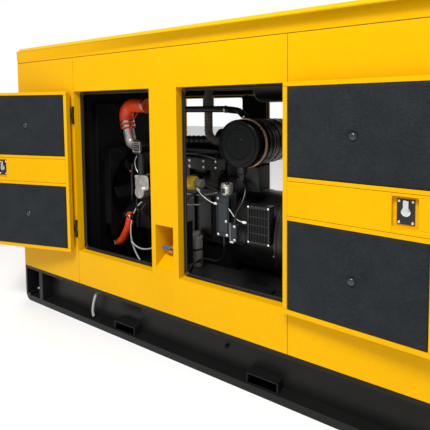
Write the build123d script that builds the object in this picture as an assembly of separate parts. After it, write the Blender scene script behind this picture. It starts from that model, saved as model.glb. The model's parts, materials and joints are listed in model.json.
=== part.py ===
from build123d import *
import math
import os

# ---------------------------------------------------------------------------
# Skid-mounted diesel generator in a sound canopy. Millimetres, +Z up.
# X along the length (radiator end at -X, control end at +X), Y across the
# width (the drain-valve side is -Y), origin at the middle of the footprint.
# ---------------------------------------------------------------------------

# overall
LEN = 3440.0          # base and canopy length
WID = 1150.0          # base and canopy width
BASE_TOP = 293.0      # top of the black base frame
SILL_TOP = 536.0      # bottom edge of the door openings
OPEN_TOP = 1700.0     # top edge of the door openings
SEAM = 1940.0         # joint between side panels and roof cap
ROOF_TOP = 2060.0     # top of the roof
WALL = 60.0           # depth of the folded canopy panels

HX = LEN / 2
HY = WID / 2

# door openings (X ranges) and posts
OP1 = (-1005.0, -258.0)
OP2 = (-34.0, 683.0)
SEAM_L = -1008.0      # panel joint at the radiator end
SEAM_R = 705.0        # panel joint at the control end

# base frame
LIP_T = 25.0          # top lip thickness
WEB_IN = 72.0         # how far the web sits behind the face
WEB_T = 8.0
RAIL_H = 45.0
CORNER_R = 60.0
POCKET_X = 545.0      # fork pocket centres
POCKET_W = 185.0      # clear width
POCKET_Z = (51.0, 98.0)
POCKET_T = 5.5

# doors
DOOR_Z = (540.0, 1697.0)
DOOR_OUT = 1.0        # outer face behind the canopy face
DOOR_SKIN = 14.0
DOOR_RING = 21.0
DOOR_RIM = 24.0
HINGE_OFF = 13.0      # hinge axis to door edge
HINGE_OUT = 8.0       # hinge axis in front of the canopy face
DOOR_L_ANGLE = 166.0
DOOR_R_ANGLE = 177.5
PAD_UP = (1236.0, 1674.0)
PAD_LO = (566.0, 1016.0)
PAD_T = 24.0
BUTTON_Z = {1: (1456.0, 800.0), -1: (1443.0, 784.0)}
RIB = (1018.0, 1234.0)
LATCH_Z = 1134.0
LATCH_IN = 125.0      # latch centre from the free edge

# driveline
CRANK_Z = 740.0
FAN_Z = 960.0
ALT_R = 300.0

nodes = {}


def B(x0, x1, y0, y1, z0, z1):
    return Pos((x0 + x1) / 2, (y0 + y1) / 2, (z0 + z1) / 2) * Box(
        abs(x1 - x0), abs(y1 - y0), abs(z1 - z0))


def CX(r, x0, x1, y, z):
    return Pos((x0 + x1) / 2, y, z) * Rot(0, 90, 0) * Cylinder(r, abs(x1 - x0))


def CY(r, y0, y1, x, z):
    return Pos(x, (y0 + y1) / 2, z) * Rot(90, 0, 0) * Cylinder(r, abs(y1 - y0))


def CZ(r, z0, z1, x, y):
    return Pos(x, y, (z0 + z1) / 2) * Cylinder(r, abs(z1 - z0))


def solids(*parts):
    out = []
    for p in parts:
        if isinstance(p, (list, tuple)):
            out += solids(*p)
        else:
            out += list(p.solids())
    return out


def put(name, *parts):
    nodes.setdefault(name, [])
    nodes[name] += solids(*parts)


def both(part_list):
    """The given -Y pieces and their mirror images at +Y."""
    out = []
    for p in solids(part_list):
        out.append(p)
        out.append(p.mirror(Plane.XZ))
    return out


def prism_x(points, x0, x1):
    """Polygon given as (y, z) points, extruded from x0 to x1."""
    face = make_face(Polyline(*[(x0, y, z) for y, z in points], close=True))
    return extrude(face, amount=x1 - x0, dir=(1, 0, 0))


def prism_y(points, y0, y1):
    """Polygon given as (x, z) points, extruded from y0 to y1."""
    face = make_face(Polyline(*[(x, y0, z) for x, z in points], close=True))
    return extrude(face, amount=y1 - y0, dir=(0, 1, 0))


def tube(points, r, radii=None, bore=0.0):
    path = FilletPolyline(*points, radius=radii) if radii else Polyline(*points)
    start = path @ 0
    plane = Plane(origin=start, z_dir=path % 0)
    section = plane * Circle(r)
    if bore:
        section = section - plane * Circle(bore)
    return sweep(section, path=path)


def arc_radii(points, share=0.45):
    out = []
    for a, b, c in zip(points, points[1:], points[2:]):
        u, v = Vector(*b) - Vector(*a), Vector(*c) - Vector(*b)
        turn = math.radians(u.get_angle(v))
        out.append(share * min(u.length, v.length) / math.tan(turn / 2))
    return out


# --------------------------------------------------------------------- base
front = []
rail_x = HX - CORNER_R
front.append(B(-HX, HX, -HY, -HY + WEB_IN, BASE_TOP - LIP_T, BASE_TOP))
front.append(B(-rail_x, rail_x, -HY, -HY + WEB_IN + WEB_T, 0, RAIL_H))
for s in (-1, 1):
    corner = CY(CORNER_R, -HY, -HY + WEB_IN + WEB_T, s * rail_x, CORNER_R)
    x_out = s * (rail_x + CORNER_R)
    keep = B(min(s * rail_x, x_out), max(s * rail_x, x_out), -HY,
             -HY + WEB_IN + WEB_T, 0, CORNER_R)
    front.append(corner & keep)
    # end post and the flange above the rounded corner
    front.append(B(min(s * 1530, s * 1485), max(s * 1530, s * 1485), -HY,
                   -HY + WEB_IN, RAIL_H, BASE_TOP - LIP_T))
    front.append(B(min(s * 1700, x_out), max(s * 1700, x_out), -HY,
                   -HY + WEB_IN, CORNER_R, BASE_TOP - LIP_T))
web_y = (-HY + WEB_IN, -HY + WEB_IN + WEB_T)
pw = POCKET_W / 2 + POCKET_T
pz = (POCKET_Z[0] - POCKET_T, POCKET_Z[1] + POCKET_T)
web_x = [(-1530, -POCKET_X - pw), (-POCKET_X + pw, POCKET_X - pw),
         (POCKET_X + pw, 1530)]
for a, b in web_x:
    front.append(B(a, b, *web_y, RAIL_H, BASE_TOP))
for s in (-1, 1):
    front.append(B(s * POCKET_X - pw, s * POCKET_X + pw, *web_y, pz[1], BASE_TOP))
# drain plug boss and earth stud on the web
front.append(CY(11, -HY + WEB_IN - 16, -HY + WEB_IN, 270, 165))
front.append(CY(7, -HY + WEB_IN - 26, -HY + WEB_IN - 16, 270, 165))
front.append(CY(17, -HY + WEB_IN - 6, -HY + WEB_IN, -1460, 190))
put("base_side_beams", both(front))

cross = []
inner = HY - WEB_IN - WEB_T
for s in (-1, 1):
    plate = B(min(s * 1708, s * HX), max(s * 1708, s * HX), -HY + WEB_IN,
              HY - WEB_IN, CORNER_R, BASE_TOP)
    for ys in (-1, 1):
        plate -= CX(26, min(s * 1700, s * 1730), max(s * 1700, s * 1730),
                    ys * 330, 165)
    cross.append(plate)
    cross.append(B(min(s * 1700, s * 1500), max(s * 1700, s * 1500), -inner,
                   inner, BASE_TOP - 6, BASE_TOP))
    for bx in (1490, 900, 445):
        cross.append(B(s * bx - 8, s * bx + 8, -inner, inner, 108, 250))
for a, b in ((-1500, 1500),):
    cross.append(B(a, b, -inner, inner, 284, 290))
for ys in (-1, 1):
    for a, b in ((-900, 1250),):
        cross.append(B(a, b, ys * 300 - 35, ys * 300 + 35, 290, 350))
put("base_cross_members", cross)

pk = []
pocket_y = HY - 8
for s in (-1, 1):
    x0, x1 = s * POCKET_X - pw, s * POCKET_X + pw
    pk.append(B(x0, x1, -pocket_y, pocket_y, pz[0], POCKET_Z[0]))
    pk.append(B(x0, x1, -pocket_y, pocket_y, POCKET_Z[1], pz[1]))
    pk.append(B(x0, x0 + POCKET_T, -pocket_y, pocket_y, *POCKET_Z))
    pk.append(B(x1 - POCKET_T, x1, -pocket_y, pocket_y, *POCKET_Z))
put("fork_pockets", pk)

tank = fillet(B(-425, 425, -450, 450, 62, 272).edges().filter_by(Axis.Z), 30)
put("fuel_tank", tank)

# ------------------------------------------------------------ canopy panels
fy = (-HY, -HY + WALL)
heads = [B(SEAM_L + 1.5, SEAM_R - 1.5, *fy, OPEN_TOP, SEAM)]
for a, b in (OP1, OP2):
    heads.append(B(a, b, fy[1] - 4, fy[1], OPEN_TOP - 20, OPEN_TOP))
heads.append(B(OP2[1], SEAM_R - 1.5, *fy, SILL_TOP, OPEN_TOP))
put("canopy_headers", both(heads))

sills = [B(SEAM_L + 1.5, SEAM_R - 1.5, *fy, BASE_TOP, SILL_TOP)]
for a, b in (OP1, OP2):
    sills.append(B(a, b, fy[1] - 4, fy[1], SILL_TOP, SILL_TOP + 20))
put("canopy_sills", both(sills))

# front post with the recessed drain pocket; the rear post is plain
PKT = (-224.0, -76.0, 574.0, 846.0)
PKT_D = 165.0
post = []
post.append(B(OP1[1], PKT[0], *fy, SILL_TOP, OPEN_TOP))
post.append(B(PKT[1], OP2[0], *fy, SILL_TOP, OPEN_TOP))
post.append(B(PKT[0], PKT[1], *fy, PKT[3], OPEN_TOP))
post.append(B(PKT[0], PKT[1], *fy, SILL_TOP, PKT[2]))
pb = -HY + PKT_D
post.append(prism_x([(fy[0] + 2, PKT[2]), (pb, PKT[2]), (pb, PKT[2] + 108)],
                    PKT[0], PKT[1]))
post.append(B(PKT[0] - 4, PKT[0], fy[1], pb, PKT[2], PKT[3]))
post.append(B(PKT[1], PKT[1] + 4, fy[1], pb, PKT[2], PKT[3]))
post.append(B(PKT[0] - 4, PKT[1] + 4, fy[1], pb, PKT[3], PKT[3] + 4))
post.append(B(PKT[0] - 4, PKT[1] + 4, pb, pb + 4, PKT[2], PKT[3] + 4))
post.append(B(OP1[1], OP2[0], HY - WALL, HY, SILL_TOP, OPEN_TOP))
for sx, (a, b) in ((1, (OP1[1] - 20, OP1[1])), (-1, (OP2[0], OP2[0] + 20))):
    for y0 in (fy[1] - 4, HY - WALL):
        post.append(B(a, b, y0, y0 + 4, SILL_TOP + 20, OPEN_TOP - 20))
put("center_posts", post)

wing = [B(-HX, SEAM_L - 1.5, *fy, BASE_TOP, SEAM),
        B(SEAM_R + 1.5, HX, *fy, BASE_TOP, SEAM),
        B(OP1[0] - 1.5, OP1[0], *fy, SILL_TOP, OPEN_TOP),
        B(OP1[0], OP1[0] + 20, fy[1] - 4, fy[1], SILL_TOP + 20, OPEN_TOP - 20),
        B(OP2[1] - 20, OP2[1], fy[1] - 4, fy[1], SILL_TOP + 20, OPEN_TOP - 20)]
put("side_panels", both(wing))


def louvre_wall(x0, x1, oy, oz, n, s):
    """End wall with a louvred opening: frame strips and slanted blades."""
    y1 = HY - WALL
    out = [B(x0, x1, -y1, y1, BASE_TOP, oz[0]),
           B(x0, x1, -y1, -oy, oz[0], oz[1]),
           B(x0, x1, oy, y1, oz[0], oz[1])]
    pitch = (oz[1] - oz[0]) / n
    xm = (x0 + x1) / 2
    for i in range(n):
        z = oz[0] + (i + 0.5) * pitch
        blade = Pos(xm, 0, z) * Rot(0, s * 42, 0) * Box(62, 2 * oy, 4)
        out.append(blade)
    return out


end_rad = louvre_wall(-HX + 4, -HX + 56, 420, (470, 1700), 16, 1)
end_rad.append(B(-HX + 4, -HX + 56, -(HY - WALL), HY - WALL, 1700, SEAM))
put("end_wall_radiator", end_rad)

CD_Y = (-300.0, 300.0)
CD_Z = (1180.0, 1780.0)
end_ctl = louvre_wall(HX - 56, HX - 4, 380, (430, 1060), 9, -1)
end_ctl += [B(HX - 56, HX - 4, -(HY - WALL), HY - WALL, 1060, CD_Z[0]),
            B(HX - 56, HX - 4, -(HY - WALL), CD_Y[0], CD_Z[0], CD_Z[1]),
            B(HX - 56, HX - 4, CD_Y[1], HY - WALL, CD_Z[0], CD_Z[1]),
            B(HX - 56, HX - 4, -(HY - WALL), HY - WALL, CD_Z[1], SEAM)]
ESTOP = (430.0, 1300.0)
end_ctl = [e - CX(14.0, HX - 60, HX, *ESTOP)
           if e.bounding_box().min.Z < ESTOP[1] < e.bounding_box().max.Z
           and e.bounding_box().max.Y > 430 else e for e in end_ctl]
put("end_wall_control", end_ctl)

EXH = (1150.0, 100.0)
roof_top = prism_x([(-HY, 2030), (-HY, 2036), (-HY + 24, ROOF_TOP),
                    (HY - 24, ROOF_TOP), (HY, 2036), (HY, 2030)], -HX, HX)
roof_top -= CZ(58, 2000, 2100, *EXH)
roof = [roof_top]
for ys in (-1, 1):
    roof.append(B(-HX, HX, min(ys * HY, ys * (HY - 30)),
                  max(ys * HY, ys * (HY - 30)), SEAM + 3, 2030))
for s in (-1, 1):
    roof.append(B(min(s * HX, s * (HX - 30)), max(s * HX, s * (HX - 30)),
                  -HY + 30, HY - 30, SEAM + 3, 2030))
put("roof_panel", roof)

lin = []
lin_top = B(-1640, 1640, -505, 505, 1950, 1990) - CZ(62, 1900, 2100, *EXH)
lin.append(lin_top)
for ys in (-1, 1):
    a, b = sorted((ys * (HY - WALL), ys * (HY - WALL - 30)))
    lin.append(B(-1640, -1035, a, b, BASE_TOP + 5, SEAM - 5))
    lin.append(B(730, 1640, a, b, BASE_TOP + 5, SEAM - 5))
    lin.append(B(-1030, 725, a, b, OPEN_TOP + 5, SEAM - 5))
    lin.append(B(-1030, 725, a, b, BASE_TOP + 5, SILL_TOP - 12))
lin.append(B(-252, -215, HY - WALL - 30, HY - WALL, SILL_TOP, OPEN_TOP - 5))
# foam-faced baffles closing the gap between the radiator and the canopy
LIN_IN = HY - WALL - 30
lin.append(B(-1070, -1045, -LIN_IN, LIN_IN, 1621, 1950))
lin.append(B(-1070, -1045, -LIN_IN, -401, BASE_TOP + 5, 1621))
lin.append(B(-1070, -1045, 401, LIN_IN, BASE_TOP + 5, 1621))
lin.append(B(-1070, -1045, -339, 339, BASE_TOP + 5, 359))
put("sound_lining", lin)

# rubber edge seals: a rounded ring lying against the flange of each opening
seal = []
for a, b in (OP1, OP2):
    def ring(inset, r):
        w, h = (b - a) - 2 * inset, (OPEN_TOP - SILL_TOP) - 2 * inset
        return Rectangle(w, h) if r <= 0 else RectangleRounded(w, h, r)
    sk = ring(1, 2) - ring(26, 6)
    body = extrude(sk, amount=8)
    body = Pos((a + b) / 2, fy[1] - 4, (SILL_TOP + OPEN_TOP) / 2) * Rot(90, 0, 0) * body
    seal.append(body)
put("door_seals", both(seal))


# -------------------------------------------------------------------- doors
def hinge_z():
    return (702.0, 1530.0)


def door_sets(hinge_x, sx, width, angle):
    """Front door pieces, built closed and turned open about the hinge.

    sx is +1 when the closed door runs from the hinge towards +X.
    """
    ay = -HY - HINGE_OUT
    e0 = hinge_x + sx * HINGE_OFF              # hinge-side edge
    e1 = e0 + sx * width                        # free edge

    def X(u0, u1):
        a, b = e0 + sx * u0, e0 + sx * u1
        return min(a, b), max(a, b)

    y0 = -HY + DOOR_OUT
    y1 = y0 + DOOR_SKIN
    y2 = y1 + DOOR_RING
    lx = width - LATCH_IN
    lxa = e0 + sx * lx
    skin = B(*X(0, width), y0, y1, *DOOR_Z) - CY(9.06, y0 - 5, y1 + 5, lxa, LATCH_Z)
    rim = DOOR_RIM
    ring = [B(*X(0, width), y1, y2, PAD_UP[1] + 2, DOOR_Z[1]),
            B(*X(0, width), y1, y2, DOOR_Z[0], PAD_LO[0] - 2),
            B(*X(0, rim), y1, y2, PAD_LO[0] - 2, PAD_UP[1] + 2),
            B(*X(width - rim, width), y1, y2, PAD_LO[0] - 2, PAD_UP[1] + 2),
            B(*X(rim, lx - 55), y1, y2, *RIB),
            B(*X(lx - 55, width - rim), y1, y2, LATCH_Z + 68, RIB[1]),
            B(*X(lx - 55, width - rim), y1, y2, RIB[0], LATCH_Z - 68),
            B(*X(lx + 55, width - rim), y1, y2, LATCH_Z - 68, LATCH_Z + 68)]
    leaf = [skin] + ring
    pads = []
    for (z0, z1), bz in zip((PAD_UP, PAD_LO), BUTTON_Z[sx]):
        pad = B(*X(rim + 2, width - rim - 2), y1, y1 + PAD_T, z0, z1)
        pad = chamfer(pad.faces().sort_by(Axis.Y)[-1].edges(), 5)
        pads.append(pad)
        pads.append(CY(15, y1 + PAD_T, y1 + PAD_T + 5, e0 + sx * width / 2, bz))
    hard = []
    for hz in hinge_z():
        strap = B(*X(3, 39), y0 - 6, y0, hz - 58, hz + 58)
        arm = B(*sorted((hinge_x, e0 + sx * 9)), y0 - 6, y0 - 2, hz - 18.5, hz + 18.5)
        barrel = CZ(7.5, hz - 18.5, hz + 18.5, hinge_x, ay)
        leaf_h = (strap + arm + barrel) - CZ(4.06, hz - 70, hz + 70, hinge_x, ay)
        hard += solids(leaf_h)
    box = B(*sorted((lxa - 37, lxa + 37)), y1, y1 + 4, LATCH_Z - 54, LATCH_Z + 54)
    hard.append(box - CY(9.06, y1 - 5, y1 + 10, lxa, LATCH_Z))
    latch = CY(9, y0 - 4, y1 + 8, lxa, LATCH_Z)
    grip = fillet(B(lxa - 16, lxa + 16, y0 - 14, y0 - 1, LATCH_Z - 60, LATCH_Z + 60)
                  .edges().filter_by(Axis.Y), 8)
    cam = B(lxa - 11, lxa + 11, y1 + 6, y1 + 11, LATCH_Z - 16, LATCH_Z + 48)
    latch = latch + grip + cam

    axis = Axis((hinge_x, ay, 0), (0, 0, 1))
    turn = -sx * angle

    def go(parts):
        return [p.rotate(axis, turn) for p in solids(parts)]

    return go(leaf), go(pads), go(hard), go(latch)


HL = OP1[0] + 4 - HINGE_OFF            # left hinge axis X
HR = OP2[1] - 4 + HINGE_OFF            # right hinge axis X
W_L = OP1[1] - OP1[0] - 8
W_R = OP2[1] - OP2[0] - 8
left = door_sets(HL, 1, W_L, DOOR_L_ANGLE)
right = door_sets(HR, -1, W_R, DOOR_R_ANGLE)
for tag, group in (("left", left), ("right", right)):
    for base_name, piece in zip(("door_{}", "door_{}_foam_pads", "door_{}_hinges_and_lock_plate",
                                 "door_{}_latch"), group):
        put(base_name.format("front_" + tag), piece)
        put(base_name.format("rear_" + tag), [p.mirror(Plane.XZ) for p in piece])

fixed = []
for hx, sx in ((HL, 1), (HR, -1)):
    ay = -HY - HINGE_OUT
    for hz in hinge_z():
        col = CZ(4, hz - 63, hz + 63, hx, ay)
        for a, b in ((hz - 63, hz - 19), (hz + 19, hz + 63)):
            col = col + CZ(7.5, a, b, hx, ay)
            col = col + B(hx - 7, hx + 7, ay, -HY, a, b)
        fixed.append(col)
put("hinge_brackets", both(fixed))

# ---------------------------------------------------------------- driveline
XE = (-790.0, 130.0)
blk = [B(XE[0], XE[1], -190, 190, 640, 1010)]
for i in range(6):
    x = XE[0] + 80 + i * 150
    blk.append(B(x - 45, x + 45, -214, -190, 700, 960))
    blk.append(B(x - 45, x + 45, 190, 214, 700, 960))
front_cover = fillet(B(XE[0] - 34, XE[0], -200, 200, 620, 1000)
                     .edges().filter_by(Axis.X), 60)
blk.append(front_cover)
blk.append(CX(52, XE[0] - 54, XE[0] - 34, 0, FAN_Z - 30))
blk.append(CX(15, XE[0] - 104, XE[0] - 54, 0, FAN_Z - 30))
blk.append(CX(15, XE[0] - 84, XE[0] - 34, 0, CRANK_Z))
put("engine_block", blk)
FAN_AZ = FAN_Z - 30

head = [B(XE[0] + 20, XE[1] - 20, -150, 150, 1010, 1100)]
for i in range(6):
    x = XE[0] + 85 + i * 148
    head.append(fillet(B(x - 66, x + 66, -90, 120, 1100, 1175)
                       .edges().filter_by(Axis.Z), 20))
put("cylinder_head", head)

sump = [prism_x([(-170, 640), (-120, 440), (120, 440), (170, 640)], XE[0] + 30, XE[1] - 30)]
put("oil_sump", sump)

fly = [CX(265, 130, 250, 0, CRANK_Z)]
put("flywheel_housing", fly)

pul = CX(100, -866, -832, 0, CRANK_Z) - CX(15.06, -890, -800, 0, CRANK_Z)
pul = pul - (CX(120, -858, -840, 0, CRANK_Z) - CX(90, -858, -840, 0, CRANK_Z))
put("crank_pulley", pul)

fan = [CX(78, -920, -868, 0, FAN_AZ) + CX(80, -868, -846, 0, FAN_AZ)
       - CX(15.06, -895, -840, 0, FAN_AZ)]
fan = solids(fan)
hub = fan[0]
for i in range(8):
    blade = Rot(i * 45, 0, 0) * (Pos(-903, 0, 187) * Rot(0, 0, 32) * Box(8, 90, 265))
    blade = Pos(0, 0, FAN_AZ) * blade
    hub = hub + blade
hub = hub - CX(15.06, -895, -840, 0, FAN_AZ)
put("cooling_fan", hub)


def hull2(circles):
    pts = []
    for (y, z, r) in circles:
        for k in range(72):
            a = 2 * math.pi * k / 72
            pts.append((y + r * math.cos(a), z + r * math.sin(a)))
    pts = sorted(set((round(p[0], 4), round(p[1], 4)) for p in pts))

    def half(seq):
        out = []
        for p in seq:
            while len(out) >= 2 and ((out[-1][0] - out[-2][0]) * (p[1] - out[-2][1])
                                     - (out[-1][1] - out[-2][1]) * (p[0] - out[-2][0])) <= 1e-6:
                out.pop()
            out.append(p)
        return out
    lo, up = half(pts), half(reversed(pts))
    return lo[:-1] + up[:-1]


GEN = (272.0, 1052.0, 36.0)          # charging alternator: Y, Z, pulley radius
outer = prism_x(hull2([(0, CRANK_Z, 99), (0, FAN_AZ, 90), (GEN[0], GEN[1], GEN[2] + 10)]),
                -856, -842)
innr = prism_x(hull2([(0, CRANK_Z, 91.2), (0, FAN_AZ, 81.5), (GEN[0], GEN[1], GEN[2] + 1)]),
               -857, -841)
put("fan_belt", outer - innr)
gen = [CX(GEN[2], -858, -838, GEN[0], GEN[1]), CX(9, -838, -812, GEN[0], GEN[1]),
       CX(68, -812, -680, GEN[0], GEN[1])]
put("charging_alternator", gen)

# silver casting and round coolant housing on the engine's front corner
intake = [B(-580, 60, -285, -215, 1165, 1240)]
for xa in (-500, -280, -40):
    intake.append(B(xa, xa + 60, -250, -215, 1050, 1165))
    intake.append(B(xa, xa + 60, -215, -150, 1050, 1090))
put("intake_manifold", intake)

put("engine_block", CY(54, -330, -235, -655, 1295) + CZ(30, 1087, 1285, -655, -283))
cast = [fillet(B(-700, -560, -312, -228, 975, 1085).edges().filter_by(Axis.Y), 30)
        + CY(46, -330, -228, -640, 960)]
put("intake_manifold", cast)

st = CX(48, -30, 130 - 1, 262, 800) + CX(30, -90, -30, 262, 800)
put("starter_motor", st)

# turbocharger and exhaust
TX, TY, TZ = -52.0, -60.0, 1345.0
turbo = [CX(88, TX - 30, TX + 38, TY, TZ) + CX(40, TX - 62, TX - 30, TY, TZ)
         + CX(34, TX + 38, TX + 70, TY, TZ)]
turbo.append(B(TX - 30, TX + 30, TY - 30, TY + 40, 1175, TZ - 84))
turbo[0] = turbo[0] + B(TX - 26, TX + 26, TY - 28, TY + 36, 1200, TZ - 40)
put("turbocharger", turbo[0])

pipe_pts = [(TX - 62, TY, TZ), (-200, TY, TZ), (-200, TY, 1745), (-200, 100, 1745),
            (150, 100, 1745)]
lag = tube(pipe_pts, 31, [72, 74, 74]) + CZ(41, 1575, 1668, -200, TY)
sil = CX(125, 150, 1050, 100, 1745)
tail_pts = [(1050, 100, 1745), (1150, 100, 1745), (1150, 100, 2105)]
tail = tube(tail_pts, 50, [80], bore=45)
put("exhaust_system", lag, sil, tail)

cap = CZ(62, 2106, 2112, *EXH) + CY(7, EXH[1] - 40, EXH[1] + 40, EXH[0] + 74, 2109) \
    + B(EXH[0] + 40, EXH[0] + 74, EXH[1] - 38, EXH[1] + 38, 2106, 2112)
cap = cap - CY(4.05, EXH[1] - 60, EXH[1] + 60, EXH[0] + 74, 2109)
put("rain_cap", cap)
br = CY(4, EXH[1] - 52, EXH[1] + 52, EXH[0] + 74, 2109)
for ys in (-1, 1):
    br = br + B(EXH[0] + 66, EXH[0] + 82, EXH[1] + min(ys * 44, ys * 52),
                EXH[1] + max(ys * 44, ys * 52), 2062, 2113)
br = br + B(EXH[0] + 60, EXH[0] + 90, EXH[1] - 52, EXH[1] + 52, ROOF_TOP, 2066)
put("exhaust_system", br)

# charge air hoses (silicone) and the silver elbow between them
hose_up = tube([(-600, -265, 1598), (-850, -265, 1606), (-813, -265, 1428)], 53, [78])
put("charge_air_hoses", hose_up)
hose_lo = tube([(-990, -250, 505), (-930, -250, 530), (-868, -250, 625), (-823, -250, 760)],
               32, [70, 140])
put("charge_air_hoses", hose_lo)
elb = tube([(-812.6, -265, 1426), (-790.2, -265, 1318), (-722, -265, 1291)], 40, [55])
put("intake_manifold", elb)

# intake hose to the air cleaner
bh = tube([(-560, -175, 1572), (30, -175, 1572), (150, -178, 1560), (208, -180, 1512)],
          23, [90, 60])
put("intake_hose", bh)

# air cleaner with its axis across the machine
AC = (272.0, 1357.0)
acl = [CY(150, -378, 220, *AC), CY(128, -386, -378, *AC), CY(156, -298, -284, *AC) - CY(150, -300, -280, *AC)]
spig = Pos(208 + 6, -180, 1512 - 13) * Rot(0, -23.5, 0) * Cylinder(21, 20)
dust = Pos(281, -345, 1172) * Cone(8, 34, 80)
put("air_cleaner", [acl[0] + acl[1] + dust])
put("air_cleaner", acl[2])
put("air_cleaner", B(AC[0] - 60, AC[0] + 60, -230, -110, 1046, 1206.5))

# radiator pack and shroud
rad = [B(-1110, -1010, -385, 385, 420, 1560), B(-1120, -1000, -400, 400, 1560, 1620),
       B(-1120, -1000, -400, 400, 360, 420), B(-1120, -1000, -400, -385, 420, 1560),
       B(-1120, -1000, 385, 400, 420, 1560)]
rad.append(B(-1120, -1000, -400, -340, 290, 360))
rad.append(B(-1120, -1000, 340, 400, 290, 360))
put("radiator", rad)
shr = []
SH_R, NSEG = 329.0, 16
for k in range(NSEG):
    quad = []
    for a in (2 * math.pi * k / NSEG, 2 * math.pi * (k + 1) / NSEG):
        c, sn = math.cos(a), math.sin(a)
        ri = SH_R / math.cos(math.pi / NSEG)
        ro = 345.0 / max(abs(c), abs(sn))
        quad.append(((ri * c, FAN_AZ + ri * sn), (ro * c, FAN_AZ + ro * sn)))
    (i0, o0), (i1, o1) = quad
    shr.append(prism_x([i0, o0, o1, i1], -1000, -935))
put("radiator", shr)

# filters, control unit
put("engine_filters", CX(50, -218, -150, -262, 1062), CX(32, -150, -98, -262, 1062),
    CZ(48, 478, 688, -162, -262), CZ(30, 688, 720, -162, -262))
ecu = [B(112, 205, -388, -374, 770, 1028), B(118, 196, -388, -340, 1030, 1040)]
put("engine_control_box", B(112, 205, -388, -370, 770, 1028), B(120, 200, -370, -268, 800, 820),
    CZ(38, 1034, 1108, 165, -345), B(122, 206, -388, -300, 1028, 1034),
    B(216, 262, -388, -356, 748, 862))

# alternator (generator end)
alt = [CX(ALT_R, 250, 480, 0, CRANK_Z)]
alt = [CX(265, 250, 470, 0, CRANK_Z), CX(300, 470, 905, 0, CRANK_Z), CX(240, 905, 1010, 0, CRANK_Z)]
put("alternator_body", alt)
ribs = []
put("alternator_body", B(560, 880, -180, 180, 1042, 1190))
gr = B(306, 462, -330, -268, 742, 978)
put("alternator_grilles", gr, gr.mirror(Plane.XZ))

feet = []
for ys in (-1, 1):
    for x0, x1, yi, yo in ((-600, -480, 190.5, 335), (560, 760, 215, 335)):
        a, b = sorted((ys * 265, ys * 335))
        feet.append(B(x0, x1, a, b, 372, 392))
        feet.append(CZ(32, 350, 372, (x0 + x1) / 2, ys * 300))
for ys in (-1, 1):
    a, b = sorted((ys * 214.5, ys * 290))
    feet.append(B(-600, -480, a, b, 392, 690) if False else B(-560, -520, *sorted((ys * 265, ys * 285)), 392, 690))
    feet.append(B(-560, -520, *sorted((ys * 190, ys * 285)), 660, 690) if False
                else B(-560, -520, *sorted((ys * 214, ys * 265)), 660, 690))
    feet.append(B(640, 680, *sorted((ys * 270, ys * 290)), 392, 560))
put("engine_mounts", feet)

# batteries on the floor pan beside the generator end
bat = []
for x0 in (336, 530):
    bat.append(fillet(B(x0, x0 + 180, -478, -345, 296, 500).edges().filter_by(Axis.Z), 8))
    for dx in (40, 140):
        bat.append(CZ(9, 500, 516, x0 + dx, -440))
put("batteries", bat)
put("batteries", B(330, 716, -482, -340, 290, 296))

# control cabinet, door, stop button
put("control_cabinet", B(1300, 1655, -300, 300, 1190, 1770))
scr = [B(1655, 1668, -120, 120, 1420, 1600)]
scr += [CX(9, 1655, 1664, -100 + 50 * i, 1370) for i in range(5)]
put("control_cabinet", scr)
ch = (HX + 6.0, CD_Y[0] + 2.0)        # control door hinge axis X, Y
cdoor = B(HX - 24, HX - 4, CD_Y[0] + 4, CD_Y[1] - 4, CD_Z[0] + 4, CD_Z[1] - 4)
cframe = cdoor - B(HX - 40, HX + 10, -200, 200, 1380, 1660)
cw = B(HX - 18, HX - 10, -199.5, 199.5, 1380.5, 1659.5)
cb = None
for hz in (1270, 1690):
    k = CZ(8, hz - 20, hz + 20, *ch) + B(HX - 6, ch[0], ch[1], ch[1] + 34, hz - 20, hz + 20)
    cframe = cframe + (k)
for hz in (1270, 1690):
    cframe = cframe - CZ(4.06, hz - 50, hz + 50, *ch)
knob = CX(12, HX - 4, HX + 14, 250, 1480)
put("control_door", cframe, knob)
put("control_door", cw)
cfix = []
for hz in (1270, 1690):
    c = CZ(4, hz - 40, hz + 40, *ch)
    for a, b in ((hz - 40, hz - 20.5), (hz + 20.5, hz + 40)):
        c = c + CZ(8, a, b, *ch) + B(HX - 4, ch[0], ch[1] - 22, ch[1] - 2, a, b)
    cfix.append(c)
put("hinge_brackets", cfix)
btn = CX(13.95, HX - 40, HX + 6, *ESTOP) + CX(26, HX + 6, HX + 22, *ESTOP)
put("stop_button", btn)

# drain valve in the front post pocket
slope = math.atan2(108, PKT_D - 2)
vx, vd = -165.0, 92.0
vz = PKT[2] + (vd - 2) * math.tan(slope)
up = Rot(math.degrees(slope), 0, 0)
vpos = Pos(vx, -HY + vd, vz)
valve = vpos * up * (Pos(0, 0, 6) * Cylinder(17, 12) + Pos(0, 0, 22) * Cylinder(12, 24)
                     + Pos(0, 0, 34) * Rot(0, 90, 0) * Cylinder(15, 50))
stem = vpos * up * (Pos(0, 0, 52) * Cylinder(6, 12))
put("drain_valve", valve)
lever = vpos * up * (Pos(0, 0, 61) * Cylinder(10, 6) + Pos(-26, 0, 61) * Box(56, 15, 5)
                     )
lever = lever - vpos * up * (Pos(0, 0, 58) * Cylinder(6.06, 30))
put("drain_valve", vpos * up * (Pos(0, 0, 56) * Cylinder(6, 16)))
put("drain_valve_lever", lever)

# small coolant hose looped at the engine's front
loop = [(-640, -305, 885), (-720, -307, 797), (-762, -309, 705), (-764, -309, 618),
        (-742, -309, 540), (-706, -308, 475), (-664, -306, 425)]
loop2 = [(-742, -322, 572), (-700, -322, 543), (-640, -322, 531), (-575, -321, 538),
         (-500, -319, 566)]
put("overflow_hose", tube(loop, 6, [0.9 * r for r in arc_radii(loop)]),
    tube(loop2, 6, [0.9 * r for r in arc_radii(loop2)]))

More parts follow.
